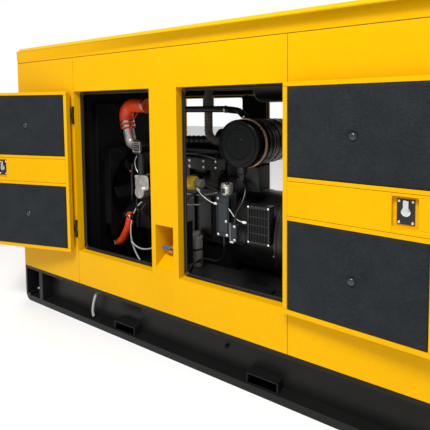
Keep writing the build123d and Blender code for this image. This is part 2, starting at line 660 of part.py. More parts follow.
# vent hose hanging from the base web
VX, VY, VZ = -874.0, -HY + WEB_IN, 228.0
put("base_side_beams", CY(7, VY - 12, VY, VX, VZ))
hose = [(VX, VY - 12, VZ), (-874, -534, 228), (-871, -547, 211), (-876, -552, 187),
        (-886, -552, 156), (-897, -551, 118), (-902, -549, 84), (-897, -546, 58)]
rr = arc_radii(hose)
put("vent_hose", tube(hose, 9, rr))
path = FilletPolyline(*hose, radius=rr)
print("vent hose radii", [round(r, 1) for r in rr], "length", round(path.length, 1))
print("vent hose volume", round(nodes["vent_hose"][0].volume), "section x length",
      round(math.pi * 81 * path.length))

# ------------------------------------------------------------------- export
os.makedirs("parts", exist_ok=True)
names = sorted(nodes)
print(len(names), "nodes", sum(len(nodes[n]) for n in names), "solids")
for n in names:
    shape = nodes[n][0] if len(nodes[n]) == 1 else Compound(nodes[n])
    export_step(shape, "parts/{}.step".format(n))
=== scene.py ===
import bpy, bmesh, math, json, random
from mathutils import Vector, Matrix, Euler


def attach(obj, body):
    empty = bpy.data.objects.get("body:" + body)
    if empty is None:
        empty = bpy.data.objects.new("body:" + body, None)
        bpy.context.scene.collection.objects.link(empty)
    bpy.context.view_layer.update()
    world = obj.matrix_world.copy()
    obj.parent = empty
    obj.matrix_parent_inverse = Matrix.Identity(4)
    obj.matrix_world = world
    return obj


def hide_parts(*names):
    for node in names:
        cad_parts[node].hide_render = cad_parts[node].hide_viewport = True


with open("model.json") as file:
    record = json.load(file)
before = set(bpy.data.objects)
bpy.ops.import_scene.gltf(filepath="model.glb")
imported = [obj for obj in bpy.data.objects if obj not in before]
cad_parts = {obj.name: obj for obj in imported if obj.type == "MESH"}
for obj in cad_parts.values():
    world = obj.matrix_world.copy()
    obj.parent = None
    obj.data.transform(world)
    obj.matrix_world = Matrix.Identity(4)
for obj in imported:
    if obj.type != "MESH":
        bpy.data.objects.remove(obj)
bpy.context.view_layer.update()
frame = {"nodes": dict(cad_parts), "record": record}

N = frame["nodes"]
ROOT = "canopy_frame"

# --------------------------------------------------------------------- camera
CAM_POS = (1.5383, -2.2574, 1.5528)
F_PX, CX_PX, CY_PX = 374.16, 272.66, 133.76
YAW, PITCH, ROLL = 0.49976, -0.05837, -0.00126
cam_data = bpy.data.cameras.new("camera")
cam_data.sensor_width = 36.0
cam_data.lens = F_PX / 430.0 * 36.0
cam_data.shift_x = (215.0 - CX_PX) / 430.0
cam_data.shift_y = (CY_PX - 215.0) / 430.0
cam_data.clip_end = 100.0
cam = bpy.data.objects.new("camera", cam_data)
bpy.context.scene.collection.objects.link(cam)
fwd = Vector((-math.sin(YAW) * math.cos(PITCH), math.cos(YAW) * math.cos(PITCH), math.sin(PITCH)))
rgt = Vector((math.cos(YAW), math.sin(YAW), 0.0))
upv = rgt.cross(fwd)
r2 = rgt * math.cos(ROLL) + upv * math.sin(ROLL)
u2 = -rgt * math.sin(ROLL) + upv * math.cos(ROLL)
rot = Matrix((r2, u2, -fwd)).transposed().to_4x4()
cam.matrix_world = Matrix.Translation(CAM_POS) @ rot
bpy.context.scene.camera = cam


# ------------------------------------------------------------------ materials
def new_mat(name):
    m = bpy.data.materials.new(name)
    m.use_nodes = True
    nt = m.node_tree
    for n in list(nt.nodes):
        nt.nodes.remove(n)
    out = nt.nodes.new("ShaderNodeOutputMaterial")
    b = nt.nodes.new("ShaderNodeBsdfPrincipled")
    nt.links.new(b.outputs["BSDF"], out.inputs["Surface"])
    return m, nt, b


def coords(nt, scale=(1, 1, 1)):
    tc = nt.nodes.new("ShaderNodeTexCoord")
    mp = nt.nodes.new("ShaderNodeMapping")
    mp.inputs["Scale"].default_value = scale
    nt.links.new(tc.outputs["Object"], mp.inputs["Vector"])
    return mp.outputs["Vector"]


def noise(nt, vec, scale, detail=4.0, rough=0.6):
    n = nt.nodes.new("ShaderNodeTexNoise")
    n.inputs["Scale"].default_value = scale
    n.inputs["Detail"].default_value = detail
    n.inputs["Roughness"].default_value = rough
    nt.links.new(vec, n.inputs["Vector"])
    return n.outputs["Fac"]


def ramp(nt, fac, stops):
    r = nt.nodes.new("ShaderNodeValToRGB")
    els = r.color_ramp.elements
    while len(els) < len(stops):
        els.new(0.5)
    for e, (p, c) in zip(els, stops):
        e.position = p
        e.color = (*c, 1.0) if len(c) == 3 else c
    nt.links.new(fac, r.inputs["Fac"])
    return r.outputs["Color"]


def bump(nt, b, height, strength, distance, prev=None):
    n = nt.nodes.new("ShaderNodeBump")
    n.inputs["Strength"].default_value = strength
    n.inputs["Distance"].default_value = distance
    nt.links.new(height, n.inputs["Height"])
    if prev is not None:
        nt.links.new(prev, n.inputs["Normal"])
    nt.links.new(n.outputs["Normal"], b.inputs["Normal"])
    return n.outputs["Normal"]


def mix_col(nt, fac, a, c, blend="MIX"):
    m = nt.nodes.new("ShaderNodeMix")
    m.data_type = "RGBA"
    m.blend_type = blend
    if isinstance(fac, (int, float)):
        m.inputs["Factor"].default_value = fac
    else:
        nt.links.new(fac, m.inputs["Factor"])
    for sock, v in ((m.inputs["A"], a), (m.inputs["B"], c)):
        if isinstance(v, tuple):
            sock.default_value = (*v, 1.0)
        else:
            nt.links.new(v, sock)
    return m.outputs["Result"]


def edge_wear(nt, lo=0.52, hi=0.62):
    g = nt.nodes.new("ShaderNodeNewGeometry")
    r = nt.nodes.new("ShaderNodeMapRange")
    r.inputs["From Min"].default_value = lo
    r.inputs["From Max"].default_value = hi
    nt.links.new(g.outputs["Pointiness"], r.inputs["Value"])
    return r.outputs["Result"]


def painted(name, base, dark, light, rough=0.34, peel=0.0006, coat=0.25, speck=None, spec=0.3):
    """Powder-coated sheet metal: slight tone drift, orange peel, gloss drift."""
    m, nt, b = new_mat(name)
    v = coords(nt)
    big = noise(nt, v, 1.7, 3.0, 0.5)
    col = ramp(nt, big, [(0.25, dark), (0.5, base), (0.8, light)])
    fine = noise(nt, v, 38.0, 5.0, 0.65)
    dust = ramp(nt, fine, [(0.35, (0.94, 0.94, 0.94)), (0.65, (1.0, 1.0, 1.0))])
    col = mix_col(nt, 0.6, col, dust, "MULTIPLY")
    if speck:
        sp = noise(nt, v, 130.0, 2.0, 0.5)
        mask = ramp(nt, sp, [(0.66, (0, 0, 0)), (0.72, (1, 1, 1))])
        col = mix_col(nt, mask, col, speck)
    nt.links.new(col, b.inputs["Base Color"])
    rr = nt.nodes.new("ShaderNodeMapRange")
    rr.inputs["To Min"].default_value = rough - 0.06
    rr.inputs["To Max"].default_value = rough + 0.1
    nt.links.new(noise(nt, v, 6.0, 4.0, 0.6), rr.inputs["Value"])
    nt.links.new(rr.outputs["Result"], b.inputs["Roughness"])
    b.inputs["Specular IOR Level"].default_value = spec
    b.inputs["Coat Weight"].default_value = coat
    b.inputs["Coat Roughness"].default_value = 0.22
    n1 = bump(nt, b, noise(nt, v, 420.0, 2.0, 0.5), 0.10, peel)
    bump(nt, b, noise(nt, v, 2.2, 2.0, 0.5), 0.10, 0.004, n1)
    return m


def simple(name, a, c, rough, scale=30.0, metallic=0.0, bump_d=0.0004, bump_s=0.3, spread=0.12, spec=0.5,
           stretch=(1, 1, 1), sheen=0.0):
    m, nt, b = new_mat(name)
    v = coords(nt, stretch)
    f = noise(nt, v, scale, 6.0, 0.65)
    nt.links.new(ramp(nt, f, [(0.3, a), (0.7, c)]), b.inputs["Base Color"])
    rr = nt.nodes.new("ShaderNodeMapRange")
    rr.inputs["To Min"].default_value = max(0.03, rough - spread)
    rr.inputs["To Max"].default_value = min(1.0, rough + spread)
    nt.links.new(noise(nt, v, scale * 0.6, 5.0, 0.6), rr.inputs["Value"])
    nt.links.new(rr.outputs["Result"], b.inputs["Roughness"])
    b.inputs["Metallic"].default_value = metallic
    b.inputs["Specular IOR Level"].default_value = spec
    if sheen:
        b.inputs["Sheen Weight"].default_value = sheen
        b.inputs["Sheen Roughness"].default_value = 0.5
    bump(nt, b, noise(nt, v, scale * 6.0, 4.0, 0.7), bump_s, bump_d)
    return m


YELLOW = painted("yellow_powder_coat", (0.70, 0.362, 0.0), (0.67, 0.345, 0.0), (0.73, 0.38, 0.0), rough=0.36,
                 coat=0.0, spec=0.05)
BASE_BLACK = painted("base_black", (0.0075, 0.0075, 0.0072), (0.006, 0.006, 0.006), (0.0098, 0.0096, 0.0092), rough=0.38,
                     coat=0.0, speck=(0.022, 0.020, 0.019), spec=0.16)
BLACK_METAL = painted("black_metal", (0.006, 0.006, 0.0063), (0.0045, 0.0045, 0.0045), (0.009, 0.009, 0.0095),
                      rough=0.3, coat=0.2)
RUBBER = simple("seal_rubber", (0.005, 0.005, 0.0055), (0.010, 0.010, 0.011), 0.42, 60.0, bump_d=0.0003, spec=0.35)
ENGINE = simple("engine_paint", (0.003, 0.003, 0.0033), (0.009, 0.0088, 0.0085), 0.34, 24.0, bump_d=0.0012, bump_s=0.5,
                spec=0.45)
PLASTIC = simple("black_plastic", (0.005, 0.005, 0.0055), (0.010, 0.010, 0.011), 0.32, 90.0, bump_d=0.0002, spec=0.45)
ALU = simple("cast_aluminium", (0.30, 0.29, 0.27), (0.62, 0.61, 0.58), 0.42, 34.0, metallic=0.85, bump_d=0.0012,
             bump_s=0.6)
STEEL = simple("bright_steel", (0.52, 0.52, 0.51), (0.72, 0.72, 0.71), 0.26, 80.0, metallic=1.0, bump_d=0.0001)
ORANGE = simple("silicone_hose", (0.62, 0.035, 0.006), (0.85, 0.075, 0.012), 0.36, 46.0, bump_d=0.0005, bump_s=0.4)
GREYHOSE = simple("grey_hose", (0.30, 0.30, 0.295), (0.42, 0.42, 0.41), 0.38, 60.0, bump_d=0.0003)
FILTER_GREY = simple("filter_grey", (0.16, 0.145, 0.135), (0.25, 0.23, 0.215), 0.45, 30.0, bump_d=0.0004)
LABEL_YELLOW = simple("label_yellow", (0.80, 0.50, 0.004), (0.95, 0.62, 0.01), 0.4, 30.0, bump_d=0.0001)
SLATE = painted("slate_box", (0.018, 0.026, 0.032), (0.014, 0.021, 0.027), (0.024, 0.032, 0.038), rough=0.42,
                coat=0.15)
BRASS = simple("brass", (0.42, 0.27, 0.09), (0.65, 0.45, 0.18), 0.3, 50.0, metallic=1.0, bump_d=0.0002)
BLUE = simple("blue_grip", (0.005, 0.09, 0.42), (0.01, 0.14, 0.55), 0.32, 40.0, bump_d=0.0002)
RED = simple("stop_red", (0.5, 0.01, 0.006), (0.62, 0.016, 0.01), 0.28, 40.0, bump_d=0.0001)
WHITE_PLASTIC = simple("white_plastic", (0.62, 0.60, 0.57), (0.78, 0.76, 0.73), 0.42, 30.0, bump_d=0.0003)
TAN = simple("clamp_band", (0.62, 0.34, 0.17), (0.85, 0.52, 0.30), 0.3, 60.0, metallic=0.6, bump_d=0.0002)
GALV = simple("galvanised", (0.34, 0.34, 0.34), (0.52, 0.52, 0.51), 0.4, 26.0, metallic=0.9, bump_d=0.0005)
BAND = simple("mounting_band", (0.05, 0.042, 0.035), (0.10, 0.085, 0.07), 0.28, 60.0, metallic=0.7, bump_d=0.0002)
GLOSS = painted("gloss_black", (0.004, 0.0045, 0.0045), (0.003, 0.0033, 0.0033), (0.006, 0.0065, 0.0065), rough=0.16,
                coat=0.0, spec=0.12)
COOLER = simple("cooler_black", (0.0016, 0.0016, 0.0017), (0.0036, 0.0036, 0.0038), 0.6, 40.0, bump_d=0.0004, spec=0.12)
SCREEN = simple("screen", (0.01, 0.02, 0.02), (0.015, 0.03, 0.03), 0.12, 12.0, bump_d=0.00005)


def lagging():
    m, nt, b = new_mat("exhaust_lagging")
    v = coords(nt)
    w = nt.nodes.new("ShaderNodeTexWave")
    w.wave_type = "BANDS"
    w.bands_direction = "DIAGONAL"
    w.inputs["Scale"].default_value = 70.0
    w.inputs["Distortion"].default_value = 2.0
    w.inputs["Detail"].default_value = 3.0
    nt.links.new(v, w.inputs["Vector"])
    f = noise(nt, v, 26.0, 6.0, 0.7)
    col = ramp(nt, f, [(0.3, (0.075, 0.058, 0.045)), (0.7, (0.19, 0.155, 0.125))])
    nt.links.new(col, b.inputs["Base Color"])
    b.inputs["Roughness"].default_value = 0.86
    n1 = bump(nt, b, w.outputs["Fac"], 0.5, 0.002)
    bump(nt, b, noise(nt, v, 160.0, 4.0, 0.7), 0.5, 0.001, n1)
    return m


def foam(name, dark, light, cell=260.0):
    """Charcoal acoustic foam with a fine faced surface."""
    m, nt, b = new_mat(name)
    v = coords(nt)
    vo = nt.nodes.new("ShaderNodeTexVoronoi")
    vo.inputs["Scale"].default_value = cell
    nt.links.new(v, vo.inputs["Vector"])
    f = noise(nt, v, 9.0, 6.0, 0.6)
    col = ramp(nt, f, [(0.3, dark), (0.7, light)])
    cells = ramp(nt, vo.outputs["Distance"], [(0.0, (0.72, 0.72, 0.72)), (0.6, (1, 1, 1))])
    col = mix_col(nt, 0.7, col, cells, "MULTIPLY")
    weave = noise(nt, coords(nt, (0.45, 0.45, 1.7)), 150.0, 3.0, 0.7)
    grain = ramp(nt, weave, [(0.36, (0.74, 0.74, 0.75)), (0.64, (1.22, 1.22, 1.22))])
    col = mix_col(nt, 1.0, col, grain, "MULTIPLY")
    nt.links.new(col, b.inputs["Base Color"])
    b.inputs["Roughness"].default_value = 0.78
    b.inputs["Specular IOR Level"].default_value = 0.12
    b.inputs["Sheen Weight"].default_value = 0.04
    b.inputs["Sheen Roughness"].default_value = 0.45
    n1 = bump(nt, b, vo.outputs["Distance"], 0.35, 0.0012)
    bump(nt, b, noise(nt, v, 28.0, 4.0, 0.6), 0.25, 0.002, n1)
    return m


LAG = lagging()
PAD = foam("pad_foam", (0.0110, 0.0138, 0.0158), (0.0165, 0.0200, 0.0228))
LINING = foam("lining_foam", (0.003, 0.003, 0.0033), (0.006, 0.006, 0.0063), 160.0)
BUTTON = simple("pad_button", (0.014, 0.015, 0.016), (0.026, 0.028, 0.030), 0.20, 60.0, bump_d=0.0001, spread=0.05)


# ------------------------------------------------------------------- helpers
def link(obj):
    bpy.context.scene.collection.objects.link(obj)
    return obj


def shade(obj, mat=None, smooth_angle=35.0):
    if mat is not None:
        obj.data.materials.clear()
        obj.data.materials.append(mat)
    for p in obj.data.polygons:
        p.use_smooth = True
    return obj


def add_bevel(obj, width, segments=2, angle=30.0):
    bv = obj.modifiers.new("bevel", "BEVEL")
    bv.width = width
    bv.segments = segments
    bv.limit_method = "ANGLE"
    bv.angle_limit = math.radians(angle)
    bv.harden_normals = True
    return obj


def set_mat(node, mat):
    o = N[node]
    o.data.materials.clear()
    o.data.materials.append(mat)
    return o


# --------------------------------------------------------- CAD node materials
for nm in ("base_side_beams", "base_cross_members", "fork_pockets", "fuel_tank"):
    set_mat(nm, BASE_BLACK)
for nm in ("canopy_headers", "canopy_sills", "center_posts", "side_panels", "end_wall_radiator", "end_wall_control",
           "roof_panel", "door_front_left", "door_front_right", "door_rear_left", "door_rear_right", "control_door"):
    set_mat(nm, YELLOW)
set_mat("sound_lining", LINING)
for nm in ("door_seals", "fan_belt", "intake_hose"):
    set_mat(nm, RUBBER)
for nm in ("hinge_brackets", "control_cabinet", "air_cleaner", "radiator", "alternator_grilles", "engine_mounts"):
    set_mat(nm, BLACK_METAL)
for a in ("front", "rear"):
    for s in ("left", "right"):
        set_mat("door_%s_%s_hinges_and_lock_plate" % (a, s), BLACK_METAL)
        set_mat("door_%s_%s_latch" % (a, s), STEEL)
        set_mat("door_%s_%s_foam_pads" % (a, s), PAD)
for nm in ("engine_block", "cylinder_head", "oil_sump", "flywheel_housing", "crank_pulley", "turbocharger",
           "starter_motor", "alternator_body"):
    set_mat(nm, ENGINE)
for nm in ("cooling_fan", "batteries"):
    set_mat(nm, PLASTIC)
for nm in ("intake_manifold", "charging_alternator"):
    set_mat(nm, ALU)
set_mat("charge_air_hoses", ORANGE)
set_mat("overflow_hose", GREYHOSE)
set_mat("vent_hose", GREYHOSE)
set_mat("exhaust_system", LAG)
set_mat("rain_cap", GALV)
set_mat("engine_filters", FILTER_GREY)
set_mat("engine_control_box", SLATE)
set_mat("drain_valve", BRASS)
set_mat("drain_valve_lever", BLUE)
set_mat("stop_button", RED)

# ----------------------------------------------------------------- vent hose
hose_pts = [(-0.874, -0.515, 0.228), (-0.874, -0.534, 0.228), (-0.871, -0.547, 0.211),
            (-0.876, -0.552, 0.187), (-0.886, -0.552, 0.156), (-0.897, -0.551, 0.118),
            (-0.902, -0.549, 0.084), (-0.897, -0.546, 0.058)]
cu = bpy.data.curves.new("vent_hose_line", "CURVE")
cu.dimensions = "3D"
sp = cu.splines.new("NURBS")
sp.points.add(len(hose_pts) - 1)
for p, q in zip(sp.points, hose_pts):
    p.co = (*q, 1.0)
sp.order_u = 3
sp.use_endpoint_u = True
sp.resolution_u = 12
cu.bevel_depth = 0.009
cu.bevel_resolution = 6
cu.use_fill_caps = True
hose_obj = link(bpy.data.objects.new("vent_hose_line", cu))
cu.materials.append(GREYHOSE)
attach(hose_obj, ROOT)
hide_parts("vent_hose")


# ------------------------------------------------------------- mesh helpers
BODY_OF = {n: b for b, ns in frame["record"]["behaviour"]["bodies"].items() for n in ns}


class Mesh:
    """Collects simple shapes into one mesh, then becomes one object."""

    def __init__(self):
        self.bm = bmesh.new()

    def box(self, x0, x1, y0, y1, z0, z1):
        lo, hi = (min(x0, x1), min(y0, y1), min(z0, z1)), (max(x0, x1), max(y0, y1), max(z0, z1))
        v = [self.bm.verts.new((a, b, c)) for a in (lo[0], hi[0]) for b in (lo[1], hi[1]) for c in (lo[2], hi[2])]
        for f in ((0, 1, 3, 2), (4, 6, 7, 5), (0, 4, 5, 1), (2, 3, 7, 6), (0, 2, 6, 4), (1, 5, 7, 3)):
            self.bm.faces.new([v[i] for i in f])
        return self

    def lathe(self, profile, origin, axis, segs=64, start=None, squash=None):
        """profile is (radius, height) along axis from origin."""
        ax = Vector(axis).normalized()
        ref = Vector(start) if start else (Vector((0, 0, 1)) if abs(ax.z) < 0.9 else Vector((1, 0, 0)))
        e1 = (ref - ax * ref.dot(ax)).normalized()
        e2 = ax.cross(e1)
        o = Vector(origin)
        rows = []
        for r, h in profile:
            if r < 1e-7:
                rows.append([self.bm.verts.new(o + ax * h)])
            else:
                row = []
                for k in range(segs):
                    a = 2 * math.pi * k / segs
                    rr = r * (squash(a, h) if squash else 1.0)
                    row.append(self.bm.verts.new(o + ax * h + (e1 * math.cos(a) + e2 * math.sin(a)) * rr))
                rows.append(row)
        for a, b in zip(rows, rows[1:]):
            for k in range(segs):
                k2 = (k + 1) % segs
                if len(a) == 1 and len(b) == 1:
                    continue
                if len(a) == 1:
                    self.bm.faces.new((a[0], b[k2], b[k]))
                elif len(b) == 1:
                    self.bm.faces.new((a[k], a[k2], b[0]))
                else:
                    self.bm.faces.new((a[k], a[k2], b[k2], b[k]))
        return self

    def cyl(self, r, origin, axis, h, segs=48, edge=0.0):
        e = edge or min(r * 0.12, h * 0.3)
        return self.lathe([(0, 0), (r - e, 0), (r, e), (r, h - e), (r - e, h), (0, h)], origin, axis, segs)

    def bolt(self, pos, axis, r=0.007, h=0.006):
        """Hexagon head on a washer."""
        self.lathe([(0, 0), (r * 1.5, 0), (r * 1.5, h * 0.22), (0, h * 0.22)], pos, axis, 20)
        self.lathe([(0, h * 0.2), (r, h * 0.2), (r, h * 0.85), (r * 0.82, h), (0, h)], pos, axis, 6)
        return self

    def sweep(self, pts, r, segs=18, closed=False, flat=None):
        """Tube of radius r (a number or a function of share along) through pts."""
        pts = [Vector(p) for p in pts]
        n = len(pts)
        tan = []
        for i in range(n):
            if closed:
                t = pts[(i + 1) % n] - pts[i - 1]
            else:
                t = pts[min(i + 1, n - 1)] - pts[max(i - 1, 0)]
            tan.append(t.normalized())
        ref = Vector((0, 0, 1)) if abs(tan[0].z) < 0.9 else Vector((0, 1, 0))
        e = (ref - tan[0] * ref.dot(tan[0])).normalized()
        rows = []
        for i in range(n):
            e = (e - tan[i] * e.dot(tan[i])).normalized()
            f = tan[i].cross(e)
            rr = r(i / max(n - 1, 1)) if callable(r) else r
            rows.append([self.bm.verts.new(pts[i] + (e * math.cos(2 * math.pi * k / segs)
                                                     + f * math.sin(2 * math.pi * k / segs) * (flat or 1.0)) * rr)
                         for k in range(segs)])
        m = n if closed else n - 1
        for i in range(m):
            a, b = rows[i], rows[(i + 1) % n]
            for k in range(segs):
                k2 = (k + 1) % segs
                self.bm.faces.new((a[k], a[k2], b[k2], b[k]))
        if not closed:
            self.bm.faces.new(list(reversed(rows[0])))
            self.bm.faces.new(rows[-1])
        return self

    def plate(self, outline, y0, y1):
        """Closed (x, z) outline extruded from y0 to y1."""
        a = [self.bm.verts.new((x, y0, z)) for x, z in outline]
        b = [self.bm.verts.new((x, y1, z)) for x, z in outline]
        n = len(a)
        for k in range(n):
            self.bm.faces.new((a[k], a[(k + 1) % n], b[(k + 1) % n], b[k]))
        self.bm.faces.new(list(reversed(a)))
        self.bm.faces.new(b)
        return self

    def ring_plate(self, outer, inner, y0, y1):
        """Flat ring between two (x, z) outlines with the same point count."""
        n = len(outer)
        rows = [[self.bm.verts.new((x, y, z)) for x, z in o] for o, y in
                ((outer, y0), (inner, y0), (inner, y1), (outer, y1))]
        for r1, r2 in zip(rows, rows[1:] + rows[:1]):
            for k in range(n):
                k2 = (k + 1) % n
                self.bm.faces.new((r1[k], r1[k2], r2[k2], r2[k]))
        return self

    def done(self, name, mat, body=ROOT, replaces=(), bevel=0.0, turn=None, mirror=False, angle=32.0, segs=2):
        bm = self.bm
        if turn:
            hx, hy, deg = turn
            m = Matrix.Translation((hx, hy, 0)) @ Matrix.Rotation(math.radians(deg), 4, "Z") \
                @ Matrix.Translation((-hx, -hy, 0))
            bmesh.ops.transform(bm, matrix=m, verts=bm.verts)
        if mirror:
            bmesh.ops.transform(bm, matrix=Matrix.Scale(-1, 4, (0, 1, 0)), verts=bm.verts)
        bmesh.ops.recalc_face_normals(bm, faces=bm.faces)
        me = bpy.data.meshes.new(name)
        bm.to_mesh(me)
        bm.free()
        for p in me.polygons:
            p.use_smooth = True
        if not bevel:
            me.set_sharp_from_angle(angle=math.radians(angle))
        ob = link(bpy.data.objects.new(name, me))
        me.materials.append(mat)
        if bevel:
            add_bevel(ob, bevel, segs, angle)
        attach(ob, body)
        if replaces:
            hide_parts(*replaces)
        return ob


def rounded(x0, x1, z0, z1, r, n=6):
    """Rounded rectangle outline as (x, z) points."""
    out = []
    for cx_, cz_, a0 in ((x1 - r, z1 - r, 0), (x0 + r, z1 - r, 90), (x0 + r, z0 + r, 180), (x1 - r, z0 + r, 270)):
        for k in range(n + 1):
            a = math.radians(a0 + 90.0 * k / n)
            out.append((cx_ + r * math.cos(a), cz_ + r * math.sin(a)))
    return out


def arcs(points, radii, step=0.008):
    """Straight runs joined by arcs, as points about step apart (rigid pipes)."""
    P_ = [Vector(p) for p in points]
    out = [P_[0]]
    for i in range(1, len(P_) - 1):
        a, b, c = P_[i - 1], P_[i], P_[i + 1]
        u, w = (a - b).normalized(), (c - b).normalized()
        ang = u.angle(w)
        r = radii[i - 1] if isinstance(radii, (list, tuple)) else radii
        t = r / math.tan(ang / 2)
        s, e = b + u * t, b + w * t
        ctr = b + (u + w).normalized() * (r / math.sin(ang / 2))
        n = max(4, int(r * (math.pi - ang) / step))
        v0, v1 = s - ctr, e - ctr
        full = v0.angle(v1)
        for k in range(n + 1):
            f = k / n
            v = (v0 * math.sin((1 - f) * full) + v1 * math.sin(f * full)) / math.sin(full)
            out.append(ctr + v)
    out.append(P_[-1])
    dense = [out[0]]
    for a, b in zip(out, out[1:]):
        n = max(1, int((b - a).length / step))
        for k in range(1, n + 1):
            dense.append(a + (b - a) * k / n)
    return dense


def smooth_line(points, n=10):
    """Points along a smooth curve through the given ones."""
    P_ = [Vector(p) for p in points]
    P_ = [P_[0] * 2 - P_[1]] + P_ + [P_[-1] * 2 - P_[-2]]
    out = []
    for i in range(1, len(P_) - 2):
        a, b, c, d = P_[i - 1:i + 3]
        for k in range(n):
            t = k / n
            out.append(0.5 * (2 * b + (c - a) * t + (2 * a - 5 * b + 4 * c - d) * t * t
                              + (3 * b - a - 3 * c + d) * t ** 3))
    out.append(P_[-2])
    return out


def polish(node, mat, width=0.002, segs=2, angle=30.0):
    """The node's own shape with its sharp edges rounded off."""
    src = N[node]
    me = src.data.copy()
    bm = bmesh.new()
    bm.from_mesh(me)
    bmesh.ops.remove_doubles(bm, verts=bm.verts, dist=1e-5)
    bmesh.ops.dissolve_limit(bm, angle_limit=math.radians(1.5), verts=bm.verts, edges=bm.edges)
    bm.to_mesh(me)
    bm.free()
    for a in ("sharp_edge", "custom_normal"):
        if a in me.attributes:
            me.attributes.remove(me.attributes[a])
    ob = link(bpy.data.objects.new(node + "_finish", me))
    me.materials.clear()
    me.materials.append(mat)
    for p in me.polygons:
        p.use_smooth = True
        p.material_index = 0
    add_bevel(ob, width, segs, angle)
    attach(ob, BODY_OF[node])
    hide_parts(node)
    return ob


def split_finish(ob, mat, wanted):
    """Second finish on the faces whose centre passes the test."""
    ob.data.materials.append(mat)
    for p in ob.data.polygons:
        if wanted(p.center):
            p.material_index = 1


# ------------------------------------------------- rounded edges on CAD nodes
POLISH = [("base_side_beams", BASE_BLACK, 0.0012), ("base_cross_members", BASE_BLACK, 0.002),
          ("fork_pockets", BASE_BLACK, 0.0012), ("roof_panel", YELLOW, 0.006),
          ("end_wall_radiator", YELLOW, 0.0012), ("end_wall_control", YELLOW, 0.0012),
          ("hinge_brackets", BLACK_METAL, 0.0012), ("radiator", COOLER, 0.0025),
          ("engine_block", ENGINE, 0.004), ("cylinder_head", ENGINE, 0.004), ("oil_sump", ENGINE, 0.006),
          ("flywheel_housing", ENGINE, 0.005), ("turbocharger", ENGINE, 0.004),
          ("starter_motor", ENGINE, 0.003), ("charging_alternator", ALU, 0.003),
          ("alternator_body", ENGINE, 0.005), ("control_cabinet", BLACK_METAL, 0.003),
          ("batteries", PLASTIC, 0.003), ("control_door", YELLOW, 0.0015), ("drain_valve", BRASS, 0.0012),
          ("drain_valve_lever", BLUE, 0.0015), ("stop_button", RED, 0.002), ("cooling_fan", COOLER, 0.002),
          ("crank_pulley", ENGINE, 0.002), ("fuel_tank", BASE_BLACK, 0.004), ("rain_cap", GALV, 0.0012),
          ("engine_mounts", BLACK_METAL, 0.002)]
for nm, mt, wd in POLISH:
    polish(nm, mt, wd)
# tinted pane in the control door, and the dark face of the control screen behind it
split_finish(bpy.data.objects["control_door_finish"], SCREEN,
             lambda c: 1.7015 < c.x < 1.7105 and abs(c.y) < 0.1998 and 1.3803 < c.z < 1.6597)
split_finish(bpy.data.objects["control_cabinet_finish"], SCREEN, lambda c: c.x > 1.6672)
# the runner along the engine is painted black; the corner casting and elbow stay bright
split_finish(polish("intake_manifold", ALU, 0.004), ENGINE, lambda c: c.x > -0.59 and c.z > 1.0)
for a_ in ("front", "rear"):
    for s_ in ("left", "right"):
        polish("door_%s_%s_hinges_and_lock_plate" % (a_, s_), BLACK_METAL, 0.0012)
        polish("door_%s_%s_latch" % (a_, s_), STEEL, 0.0015)

# black strips filling the gaps between the canopy panels: painted shade, dark in place of the shade inside the gaps
g = Mesh()
for ys in (-1, 1):
    f = ys * 0.5735
    b_ = ys * 0.53
    for x in (-1.008, 0.705):
        g.box(x - 0.0016, x + 0.0016, f, b_, 0.293, 1.940)
    g.box(-1.7185, 1.7185, f, b_, 1.9400, 1.9432)
g.done("panel_gap_painted_shade", RUBBER)

# ------------------------------------------------------------------ edge seals
s = Mesh()
for x0, x1 in ((-1.005, -0.258), (-0.034, 0.683)):
    for ys in (-1, 1):
        for inset, rr, dy, cr in ((0.0125, 0.0088, 0.5185, 0.030), (0.0040, 0.0036, 0.5260, 0.020)):
            line = rounded(x0 + inset, x1 - inset, 0.536 + inset, 1.700 - inset, cr, 8)
            dense = []
            for p, q in zip(line, line[1:] + line[:1]):
                n_ = max(1, int(math.dist(p, q) / 0.05))
                for k in range(n_):
                    dense.append((p[0] + (q[0] - p[0]) * k / n_, ys * dy, p[1] + (q[1] - p[1]) * k / n_))
            s.sweep(dense, rr, 12, closed=True)
s.done("edge_seals", RUBBER, replaces=("door_seals",), angle=60)

# ----------------------------------------------------------------------- doors
DOORS = {"left": (-1.014, 1, 0.739, 166.0, (1.456, 0.800)), "right": (0.692, -1, 0.709, 177.5, (1.443, 0.784))}
AY, OFF = -0.583, 0.013
DZ0, DZ1 = 0.540, 1.697
PUP, PLO, RB = (1.236, 1.674), (0.566, 1.016), (1.018, 1.234)
LZ, LIN = 1.134, 0.125


